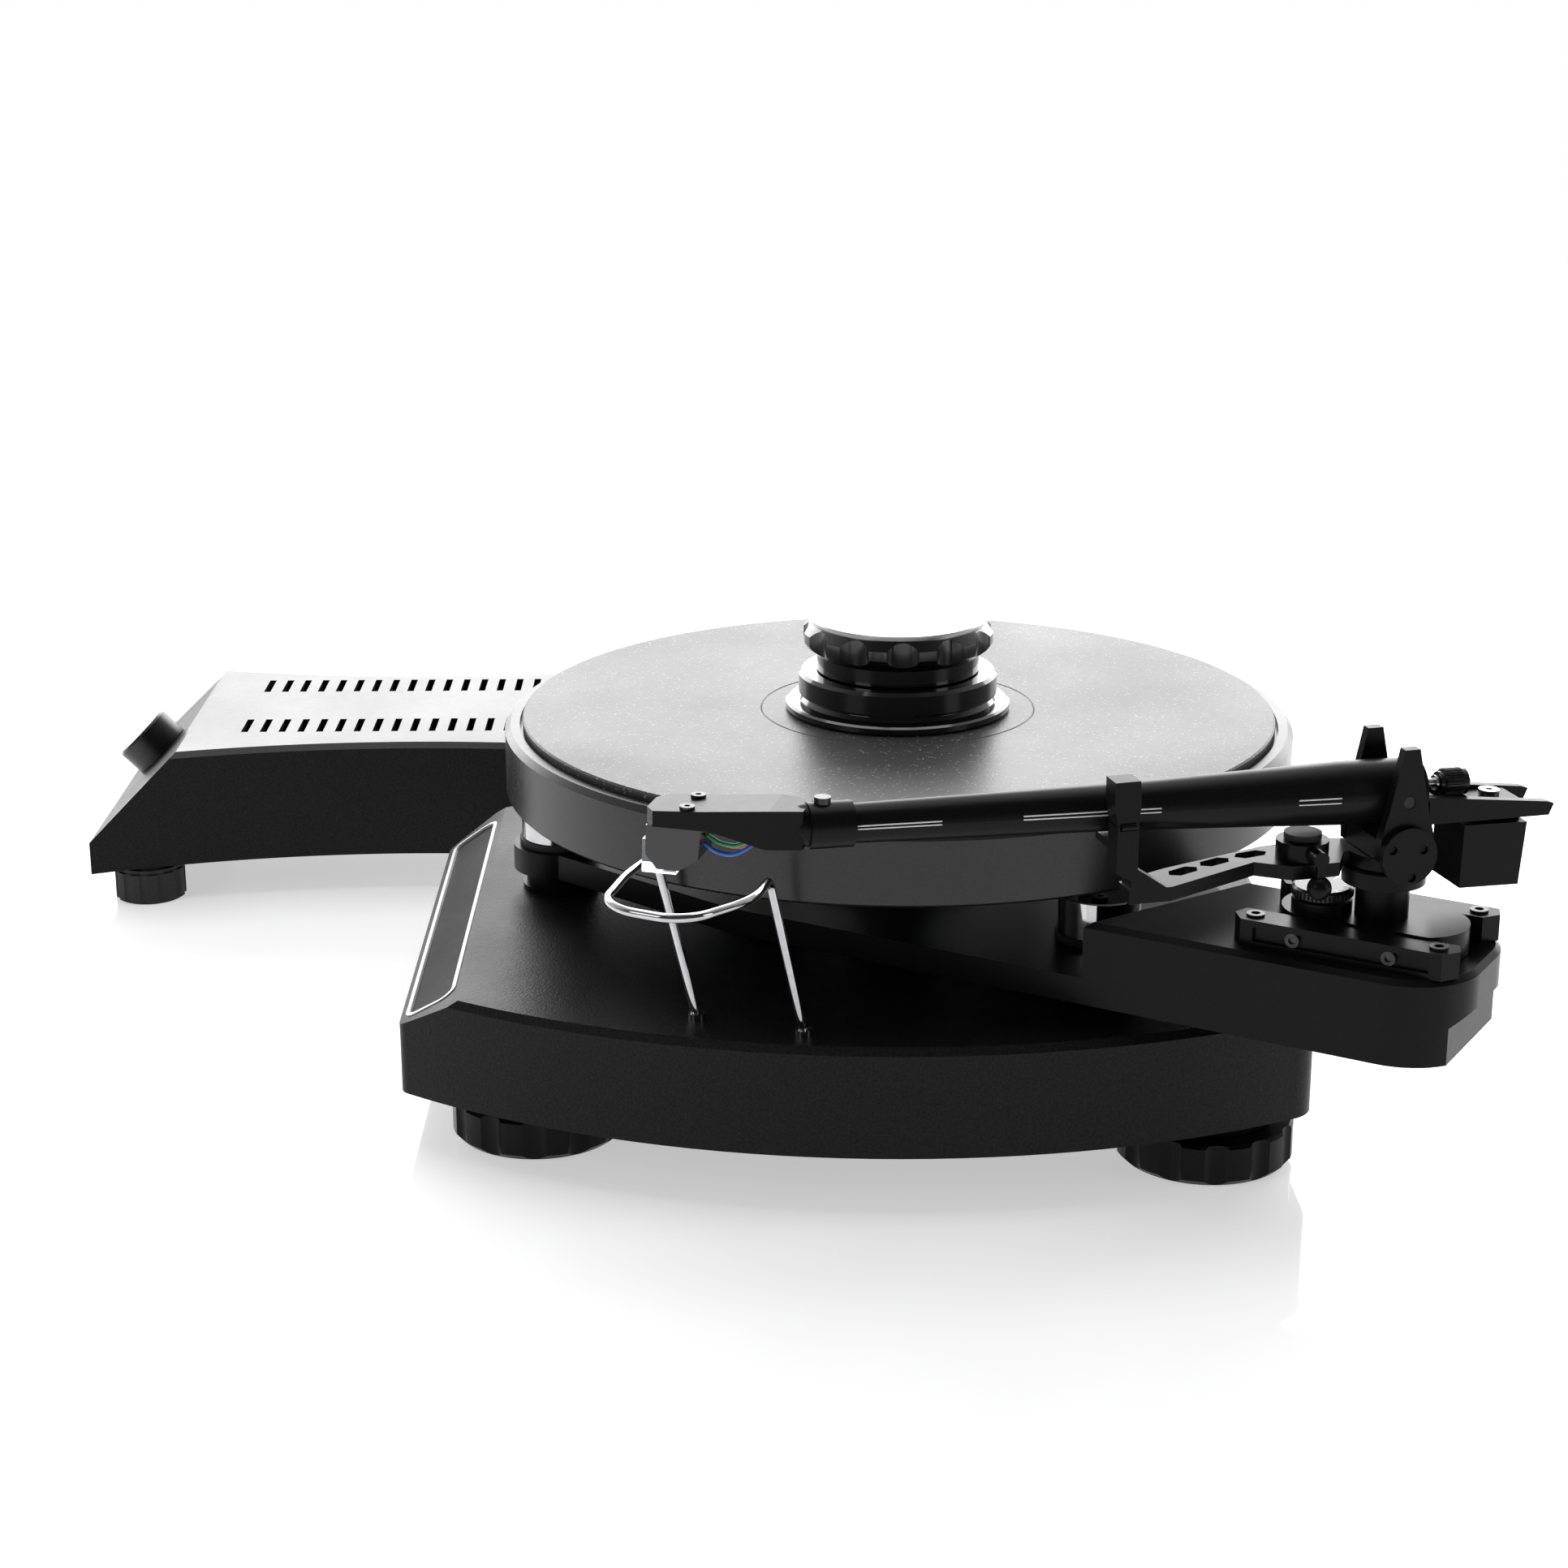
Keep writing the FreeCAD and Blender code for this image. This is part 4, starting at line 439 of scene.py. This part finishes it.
# ------------------------------------------------------------------ mesh building
class Bench:
    """Makes mesh pieces and hands them finishes."""

    parallel = 1e-4
    chamfer_share = 0.15

    def __init__(self, book: FinishBook) -> None:
        """Keep the finish book at hand."""
        self.book = book

    def piece(self, name: str, mesh: bmesh.types.BMesh, body: str, finishes: Sequence[Finish],
              slot: str, smooth: bool = True) -> bpy.types.Object:
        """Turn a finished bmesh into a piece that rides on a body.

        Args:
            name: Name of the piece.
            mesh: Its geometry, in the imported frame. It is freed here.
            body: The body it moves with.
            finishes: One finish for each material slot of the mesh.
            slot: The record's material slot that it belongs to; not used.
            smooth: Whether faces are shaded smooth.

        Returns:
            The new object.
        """
        bmesh.ops.recalc_face_normals(mesh, faces=mesh.faces)
        data = bpy.data.meshes.new(name)
        mesh.to_mesh(data)
        mesh.free()
        for finish in finishes:
            data.materials.append(self.book.material(finish))
        for face in data.polygons:
            face.use_smooth = smooth
        item = bpy.data.objects.new(name, data)
        bpy.context.scene.collection.objects.link(item)
        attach(item, body)
        LOG.info("%s rides on %s with %d faces", name, body, len(data.polygons))
        return item

    @classmethod
    def tube(cls, mesh: bmesh.types.BMesh, points: Sequence[Vector], radius: float, sides: int = 12,
             slot: int = 0) -> None:
        """Add a round tube along a line of points, closed at both ends.

        Args:
            mesh: The bmesh that receives it.
            points: The line it follows.
            radius: Its radius.
            sides: Faces round it.
            slot: Material slot of its faces.
        """
        rings: list[list[bmesh.types.BMVert]] = []
        side = Vector((0.0, 0.0, 1.0))
        for index, point in enumerate(points):
            ahead = points[min(index + 1, len(points) - 1)] - points[max(index - 1, 0)]
            ahead.normalize()
            across = ahead.cross(side)
            if across.length < cls.parallel:
                across = ahead.cross(Vector((1.0, 0.0, 0.0)))
            across.normalize()
            side = across.cross(ahead).normalized()
            rings.append([mesh.verts.new(point + radius * (across * math.cos(turn) + side * math.sin(turn)))
                          for turn in (2 * math.pi * k / sides for k in range(sides))])
        for first, second in zip(rings, rings[1:]):
            for k in range(sides):
                face = mesh.faces.new((first[k], first[(k + 1) % sides],
                                       second[(k + 1) % sides], second[k]))
                face.material_index = slot
        for ring in (rings[0], rings[-1]):
            mesh.faces.new(ring).material_index = slot

    @classmethod
    def toothed_band(cls, mesh: bmesh.types.BMesh, frame: Matrix, radius: float, depth: float,
                     low: float, high: float, teeth: int, inner: float) -> None:
        """Add a ring whose outside is cut into fine straight teeth along its axis.

        Args:
            mesh: The bmesh that receives it.
            frame: Its frame, with z along the ring's axis.
            radius: Radius at the tips of the teeth.
            depth: How deep the teeth are.
            low: Where the band starts along the axis.
            high: Where it ends.
            teeth: How many teeth go round.
            inner: Radius of the hole.
        """
        count = teeth * 4
        outline = [radius if k % 4 in (1, 2) else radius - depth for k in range(count)]
        chamfer = min(depth, (high - low) * cls.chamfer_share)
        stages = ((low, -chamfer), (low + chamfer, 0.0), (high - chamfer, 0.0), (high, -chamfer))
        rings = []
        for z, shrink in stages:
            rings.append([mesh.verts.new(frame @ Vector((
                (outline[k] + shrink) * math.cos(2 * math.pi * k / count),
                (outline[k] + shrink) * math.sin(2 * math.pi * k / count), z))) for k in range(count)])
        for z in (high, low):
            rings.append([mesh.verts.new(frame @ Vector((
                inner * math.cos(2 * math.pi * k / count),
                inner * math.sin(2 * math.pi * k / count), z))) for k in range(count)])
        for first, second in zip(rings, rings[1:] + rings[:1]):
            for k in range(count):
                mesh.faces.new((first[k], first[(k + 1) % count], second[(k + 1) % count], second[k]))

    @staticmethod
    def plate(mesh: bmesh.types.BMesh, frame: Matrix, outline: Sequence[tuple[float, float]],
              low: float, high: float) -> None:
        """Add a flat plate with a given outline.

        Args:
            mesh: The bmesh that receives it.
            frame: Its frame, with z through the plate.
            outline: Its corners in order.
            low: Height of its underside.
            high: Height of its top.
        """
        bottom = [mesh.verts.new(frame @ Vector((x, y, low))) for x, y in outline]
        top = [mesh.verts.new(frame @ Vector((x, y, high))) for x, y in outline]
        count = len(outline)
        mesh.faces.new(top)
        mesh.faces.new(bottom[::-1])
        for k in range(count):
            mesh.faces.new((bottom[k], bottom[(k + 1) % count], top[(k + 1) % count], top[k]))


# ------------------------------------------------------------------ sub-assemblies
def middle(node: str) -> Vector:
    """The middle of a node's box."""
    low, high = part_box(node)
    return (Vector(low) + Vector(high)) / 2


@dataclass
class Assembly:
    """A sub-assembly: the finish of each of its nodes, and the axis they were turned about."""

    bench: Bench
    nodes: dict[str, bpy.types.Object]
    finishes: dict[str, Finish] = field(default_factory=dict)

    def dress(self) -> None:
        """Give every node of the sub-assembly its material."""
        for name, finish in self.finishes.items():
            item = self.nodes[name]
            item.data.materials.clear()
            item.data.materials.append(self.bench.book.material(finish, middle(name)))
            LOG.info("%s is finished in %s", name, finish.name)

    def build(self) -> None:
        """Dress the nodes and add the fine detail."""
        self.dress()
        self.detail()

    def detail(self) -> None:
        """Most sub-assemblies need nothing more."""


@dataclass
class Plinth(Assembly):
    """The powder-coated deck, its slope panel, feet and bent-wire guard."""

    finishes: dict[str, Finish] = field(default_factory=lambda: {
        "base_plate": POWDER, "front_plate": PANEL, "front_border": SILVER_LINE,
        "foot_studs": ANODISED, "foot_pads": RUBBER, "power_socket": PLASTIC, "wire_guard": CHROME,
        "foot_ring_1": ANODISED, "foot_ring_2": ANODISED, "foot_ring_3": ANODISED,
        "foot_ring_4": ANODISED})


@dataclass
class Suspension(Assembly):
    """The floating sub-chassis, its arm board and the three isolation posts."""

    finishes: dict[str, Finish] = field(default_factory=lambda: {
        "sub_chassis": ANODISED, "arm_board": ANODISED, "isolation_pillars": ANODISED,
        "isolation_cups": CHROME, "isolation_plugs": ANODISED, "isolation_rings": RUBBER})


@dataclass
class Drive(Assembly):
    """Main bearing, platter with its mat, motor, pulley and belt."""

    finishes: dict[str, Finish] = field(default_factory=lambda: {
        "bearing_housing": STEEL, "thrust_ball": CHROME, "spindle_shaft": STEEL,
        "platter": TURNED_BLACK, "sub_platter": PLASTIC, "platter_mat": CARBON_MAT,
        "motor_can": ANODISED, "motor_pulley": BRASS, "drive_belt": RUBBER})


@dataclass
class Clamp(Assembly):
    """The screw-on record clamp."""

    finishes: dict[str, Finish] = field(default_factory=lambda: {
        "clamp_base": POLISHED_BLACK, "clamp_knob": POLISHED_BLACK, "clamp_cap": CLAMP_DISC})


@dataclass
class ArmBase(Assembly):
    """Rails, carriage, column, bracket, latch, lift and the side-force dial."""

    dial_teeth: int = 44
    tooth_depth: float = 0.0005
    grip_proud: float = 0.0003
    grip_wall: float = 0.0012
    grip_low: float = 0.0006
    grip_below_top: float = 0.0009
    dial_marks: int = 12
    blank_marks: int = 4
    mark_width: float = 0.00035
    mark_end: float = 0.9
    long_mark_start: float = 0.62
    short_mark_start: float = 0.72
    long_mark_every: int = 3
    mark_sunk: float = 0.00005
    mark_proud: float = 0.00004
    finishes: dict[str, Finish] = field(default_factory=lambda: {
        "arm_rails": ANODISED, "rail_screws": DARK_STEEL, "arm_carriage": ANODISED, "dial_stand": ANODISED,
        "anti_skate_dial": TURNED_BLACK, "arm_column": ANODISED, "rest_bracket": ANODISED,
        "rest_latch": ANODISED, "lift_block": ANODISED, "lift_pad": RUBBER, "cue_lever": ANODISED})

    def detail(self) -> None:
        """Cut the dial's grip ring and its scale marks."""
        low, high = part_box("anti_skate_dial")
        centre = middle("anti_skate_dial")
        radius = (high[0] - low[0]) / 2
        frame = Matrix.Translation(Vector((centre.x, centre.y, low[2])))
        top = high[2] - low[2]
        band = bmesh.new()
        self.bench.toothed_band(band, frame, radius + self.grip_proud, self.tooth_depth, self.grip_low,
                                top - self.grip_below_top, self.dial_teeth, radius - self.grip_wall)
        self.bench.piece("dial_grip", band, "dial", [ANODISED], "black_metal", smooth=False)
        marks = bmesh.new()
        half, end = self.mark_width / 2, radius * self.mark_end
        for step in range(self.dial_marks):
            turn = Matrix.Rotation(2 * math.pi * step / (self.dial_marks + self.blank_marks), 4, "Z")
            is_long = step % self.long_mark_every == 0
            start = radius * (self.long_mark_start if is_long else self.short_mark_start)
            self.bench.plate(marks, frame @ turn, [(start, -half), (end, -half), (end, half), (start, half)],
                             top - self.mark_sunk, top + self.mark_proud)
        self.bench.piece("dial_scale", marks, "dial", [SILVER_LINE], "polished_metal", smooth=False)


@dataclass
class Tonearm(Assembly):
    """The swinging arm with its headshell, cartridge, leads, rear rails and weight."""

    angle: float = math.radians(-75.7)
    rise: float = math.radians(1.4)
    head_turn: float = math.radians(-29.0)
    head_start: float = 0.190
    root: float = 0.0102
    waist: float = 0.0076
    tip: float = 0.0061
    length: float = 0.182
    taper_start: float = 0.017
    waist_at: float = 0.086
    bearing_height: float = 0.147
    stripe_stretches: tuple[tuple[float, float], ...] = ((0.021, 0.0353), (0.0807, 0.1255), (0.1515, 0.1787))
    stripe_turns: tuple[float, float] = (math.radians(8.0), math.radians(-1.0))
    stripe_width: float = 0.00042
    stripe_sunk: float = 0.0001
    stripe_proud: float = 0.00006
    stripe_steps: int = 14
    lead_radius: float = 0.0007
    lead_sides: int = 10
    lead_start: float = 0.033
    lead_edge: float = -0.0051
    lead_spacing: float = 0.0034
    lead_drop: float = 0.0055
    lead_stagger: float = 0.0016
    lead_bends: tuple[tuple[float, float, float], ...] = (
        (0.0, 1.0, 0.0), (0.004, 1.15, 0.0022), (0.0095, 1.2, 0.0026), (0.0145, 0.95, -0.0001))
    lead_end: float = 0.0155
    lead_end_spread: float = 0.7
    lead_end_drop: float = 0.0040
    lead_end_step: float = 0.0004
    wheel_at: float = -0.0168
    wheel_height: float = 0.0015
    wheel_tips: float = 0.00455
    wheel_tooth: float = 0.00045
    wheel_low: float = 0.0012
    wheel_high: float = 0.0082
    wheel_teeth: int = 30
    wheel_hole: float = 0.0034
    finishes: dict[str, Finish] = field(default_factory=lambda: {
        # bearing_pins take the black rubber finish as painted shade: the dark pins stand in for the
        # bearing's shadowed hole.
        "arm_yoke": ANODISED, "bearing_cover": ANODISED, "arm_tube": ANODISED, "bearing_pins": RUBBER,
        "headshell": ANODISED, "head_screws": DARK_STEEL, "cartridge": POLISHED_BLACK,
        "stylus_guard": CLEAR, "cartridge_leads": LEAD_WHITE, "rear_rails": ANODISED,
        "lead_screw": STEEL, "thumbwheel": DARK_STEEL, "counterweight": ANODISED, "weight_screw": STEEL})

    def tube_frame(self) -> Matrix:
        """The tube's frame: x towards the headshell, y towards the deck's right, z up.

        Returns:
            The frame's matrix, with its origin at the bearing.
        """
        pivot = middle("arm_column")
        pivot.z = self.bearing_height
        return (Matrix.Translation(pivot) @ Matrix.Rotation(self.angle, 4, "Z")
                @ Matrix.Rotation(-self.rise, 4, "Y"))

    def head_frame(self) -> Matrix:
        """The headshell's frame, turned about the tube's end."""
        return (self.tube_frame() @ Matrix.Translation((self.head_start, 0.0, 0.0))
                @ Matrix.Rotation(self.head_turn, 4, "Z"))

    def radius_at(self, along: float) -> float:
        """Radius of the tube at a distance from the pivot.

        Args:
            along: Distance from the pivot.

        Returns:
            The tube's outer radius there.
        """
        stops = ((self.taper_start, self.root), (self.waist_at, self.waist), (self.length, self.tip))
        for (a, first), (b, second) in zip(stops, stops[1:]):
            if along <= b:
                share = max(0.0, (along - a) / (b - a))
                return first + (second - first) * share
        return self.tip

    def detail(self) -> None:
        """Add the pin stripes, the coloured leads and the thumbwheel's grip."""
        self.stripes()
        self.leads()
        self.grip()

    def stripes(self) -> None:
        """Lay two fine silver lines along the tube's outer side, in three stretches."""
        frame = self.tube_frame()
        lines = bmesh.new()
        for start, end in self.stripe_stretches:
            for turn in self.stripe_turns:
                self._line(lines, frame, start, end, turn)
        self.bench.piece("tube_stripes", lines, "arm", [SILVER_LINE], "polished_metal")

    def _line(self, mesh: bmesh.types.BMesh, frame: Matrix, start: float, end: float,
              turn: float) -> None:
        """Add one thin raised line along the tube.

        Args:
            mesh: The bmesh that receives it.
            frame: The tube's frame.
            start: Distance from the pivot where it starts.
            end: Distance where it ends.
            turn: Its angle round the tube, from the deck's right upwards.
        """
        rings = []
        for step in range(self.stripe_steps + 1):
            along = start + (end - start) * step / self.stripe_steps
            radius = self.radius_at(along)
            spread = self.stripe_width / radius / 2
            ring = []
            for angle, lift in ((turn - spread, -self.stripe_sunk), (turn - spread, self.stripe_proud),
                                (turn + spread, self.stripe_proud), (turn + spread, -self.stripe_sunk)):
                reach = radius + lift
                ring.append(mesh.verts.new(frame @ Vector((
                    along, reach * math.cos(angle), reach * math.sin(angle)))))
            rings.append(ring)
        for first, second in zip(rings, rings[1:]):
            for k in range(4):
                mesh.faces.new((first[k], first[(k + 1) % 4], second[(k + 1) % 4], second[k]))
        mesh.faces.new(rings[0])
        mesh.faces.new(rings[-1])

    def leads(self) -> None:
        """Four coloured leads looping from the cartridge's pins back under the headshell."""
        frame = self.head_frame()
        wires = bmesh.new()
        colours = [LEAD_WHITE, LEAD_RED, LEAD_GREEN, LEAD_BLUE]
        for number in range(len(colours)):
            side = self.lead_edge + self.lead_spacing * number
            low = -self.lead_drop - self.lead_stagger * (number % 2)
            knots = [Vector((self.lead_start - back, side * spread, low - drop))
                     for back, spread, drop in self.lead_bends]
            knots.append(Vector((self.lead_start - self.lead_end, side * self.lead_end_spread,
                                 -self.lead_end_drop - self.lead_end_step * number)))
            line = [frame @ point for point in self._smooth(knots)]
            self.bench.tube(wires, line, self.lead_radius, self.lead_sides, number)
        piece = self.bench.piece("coloured_leads", wires, "arm", colours, "lead_white")
        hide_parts("cartridge_leads")

    @staticmethod
    def _smooth(knots: Sequence[Vector], steps: int = 7) -> list[Vector]:
        """Run a smooth line through a few knots.

        Args:
            knots: The points it passes through.
            steps: Points made between two knots.

        Returns:
            The points of the line.
        """
        padded = [knots[0] * 2 - knots[1], *knots, knots[-1] * 2 - knots[-2]]
        made: list[Vector] = []
        for a, b, c, d in zip(padded, padded[1:], padded[2:], padded[3:]):
            for step in range(steps):
                t = step / steps
                made.append(0.5 * ((2 * b) + (c - a) * t + (2 * a - 5 * b + 4 * c - d) * t * t
                                   + (3 * b - a - 3 * c + d) * t ** 3))
        made.append(Vector(knots[-1]))
        return made

    def grip(self) -> None:
        """Fine straight teeth round the thumbwheel."""
        frame = (self.tube_frame() @ Matrix.Translation((self.wheel_at, 0.0, self.wheel_height))
                 @ Matrix.Rotation(math.radians(-90.0), 4, "Y"))
        band = bmesh.new()
        self.bench.toothed_band(band, frame, self.wheel_tips, self.wheel_tooth, self.wheel_low,
                                self.wheel_high, self.wheel_teeth, self.wheel_hole)
        self.bench.piece("thumbwheel_grip", band, "wheel", [DARK_STEEL], "steel", smooth=False)


@dataclass
class Controller(Assembly):
    """The separate speed controller."""

    finishes: dict[str, Finish] = field(default_factory=lambda: {
        "controller_case": POWDER, "controller_lid": LID, "controller_knob": TURNED_BLACK,
        "controller_feet": RUBBER, "controller_board": CIRCUIT, "controller_sockets": PLASTIC})


# ------------------------------------------------------------------ studio
@dataclass(frozen=True)
class Panel:
    """One soft panel light: where it hangs, the point it faces, its size and its power in watts."""

    name: str
    at: tuple[float, float, float]
    aim: tuple[float, float, float]
    size: tuple[float, float]
    power: float

    def hang(self) -> None:
        """Make the light and put it in the scene."""
        light = bpy.data.lights.new(self.name, "AREA")
        light.shape = "RECTANGLE"
        light.size, light.size_y = self.size
        light.energy = self.power
        item = bpy.data.objects.new(self.name, light)
        item.location = self.at
        item.rotation_euler = (Vector(self.aim) - Vector(self.at)).to_track_quat("-Z", "Y").to_euler()
        item.visible_camera = False
        bpy.context.scene.collection.objects.link(item)


@dataclass
class Studio:
    """Pale floor, soft light and the camera."""

    book: FinishBook
    eye: Vector = field(default_factory=lambda: Vector((1.04971, -0.05666, 0.42722)))
    yaw: float = 0.014
    pitch: float = 0.3006
    roll: float = -0.0021
    lens: float = 67.753
    sensor: float = 36.0
    clip_start: float = 0.02
    floor_end: float = -2.2
    floor_reach: float = 9.0
    fade_from: float = 0.45
    fade_to: float = -0.75
    dim: float = 0.05
    bright: float = 0.8
    panels: tuple[Panel, ...] = (
        Panel("back_panel", (-2.3, 0.1, 0.95), (0.0, 0.0, 0.1), (5.0, 1.6), 95.0),
        Panel("top_panel", (-0.4, 0.0, 1.9), (0.0, 0.0, 0.0), (1.6, 1.6), 14.0),
        Panel("front_fill", (1.3, -1.6, 1.1), (0.0, 0.0, 0.08), (0.9, 0.9), 5.0),
        Panel("side_fill", (0.9, 1.7, 0.7), (0.1, 0.1, 0.1), (0.6, 0.9), 3.0))

    def build(self) -> None:
        """Lay the floor, hang the lights and set the camera."""
        self.floor()
        self.lights()
        self.world()
        self.camera()

    def floor(self) -> None:
        """A wide pale floor with a soft gloss, ending behind the deck where the surround takes over."""
        sheet = bmesh.new()
        far, reach = self.floor_end, self.floor_reach
        sheet.faces.new([sheet.verts.new((x, y, 0.0)) for x, y in
                         ((far, -reach), (reach, -reach), (reach, reach), (far, reach))])
        data = bpy.data.meshes.new("studio_floor")
        sheet.to_mesh(data)
        sheet.free()
        data.materials.append(self.book.material(FLOOR))
        item = bpy.data.objects.new("studio_floor", data)
        bpy.context.scene.collection.objects.link(item)

    def lights(self) -> None:
        """Hang a broad panel behind the deck, a soft top and two weak fills."""
        for panel in self.panels:
            panel.hang()

    def world(self) -> None:
        """A white surround that lights the deck from behind and is dim in front of it."""
        world = bpy.data.worlds.new("studio_surround")
        bpy.context.scene.world = world
        world.use_nodes = True
        tree = world.node_tree
        background = tree.nodes["Background"]
        background.inputs["Color"].default_value = (1.0, 1.0, 1.0, 1.0)
        place = tree.nodes.new("ShaderNodeTexCoord")
        split = tree.nodes.new("ShaderNodeSeparateXYZ")
        tree.links.new(place.outputs["Generated"], split.inputs[0])
        fade = tree.nodes.new("ShaderNodeMapRange")
        fade.interpolation_type = "SMOOTHSTEP"
        for label, value in (("From Min", self.fade_from), ("From Max", self.fade_to),
                             ("To Min", self.dim), ("To Max", self.bright)):
            fade.inputs[label].default_value = value
        tree.links.new(split.outputs["X"], fade.inputs["Value"])
        seen = tree.nodes.new("ShaderNodeLightPath")
        pick = tree.nodes.new("ShaderNodeMix")
        pick.inputs["B"].default_value = 1.0
        tree.links.new(seen.outputs["Is Camera Ray"], pick.inputs["Factor"])
        tree.links.new(fade.outputs["Result"], pick.inputs["A"])
        tree.links.new(pick.outputs["Result"], background.inputs["Strength"])

    def camera(self) -> None:
        """Set the camera by its place relative to the spindle axis."""
        spindle = middle("platter")
        lens = bpy.data.cameras.new("studio_camera")
        lens.lens = self.lens
        lens.sensor_width = self.sensor
        lens.clip_start = self.clip_start
        item = bpy.data.objects.new("studio_camera", lens)
        bpy.context.scene.collection.objects.link(item)
        item.location = Vector((spindle.x, spindle.y, 0.0)) + self.eye
        ahead = Vector((-math.cos(self.pitch) * math.cos(self.yaw),
                        math.cos(self.pitch) * math.sin(self.yaw), -math.sin(self.pitch)))
        look = ahead.to_track_quat("-Z", "Y")
        item.rotation_mode = "QUATERNION"
        item.rotation_quaternion = look @ Matrix.Rotation(self.roll, 4, "Z").to_quaternion()
        bpy.context.scene.camera = item
        bpy.context.scene.view_settings.view_transform = "Standard"


def main() -> None:
    """Load the frame, dress every sub-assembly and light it."""
    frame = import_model()
    book = FinishBook(EffectLibrary())
    bench = Bench(book)
    for kind in (Plinth, Suspension, Drive, Clamp, ArmBase, Tonearm, Controller):
        kind(bench, frame["nodes"]).build()
        LOG.info("%s is built", kind.__name__)
    Studio(book).build()


if __name__ == "__main__":
    logging.basicConfig(level=logging.INFO)
    main()
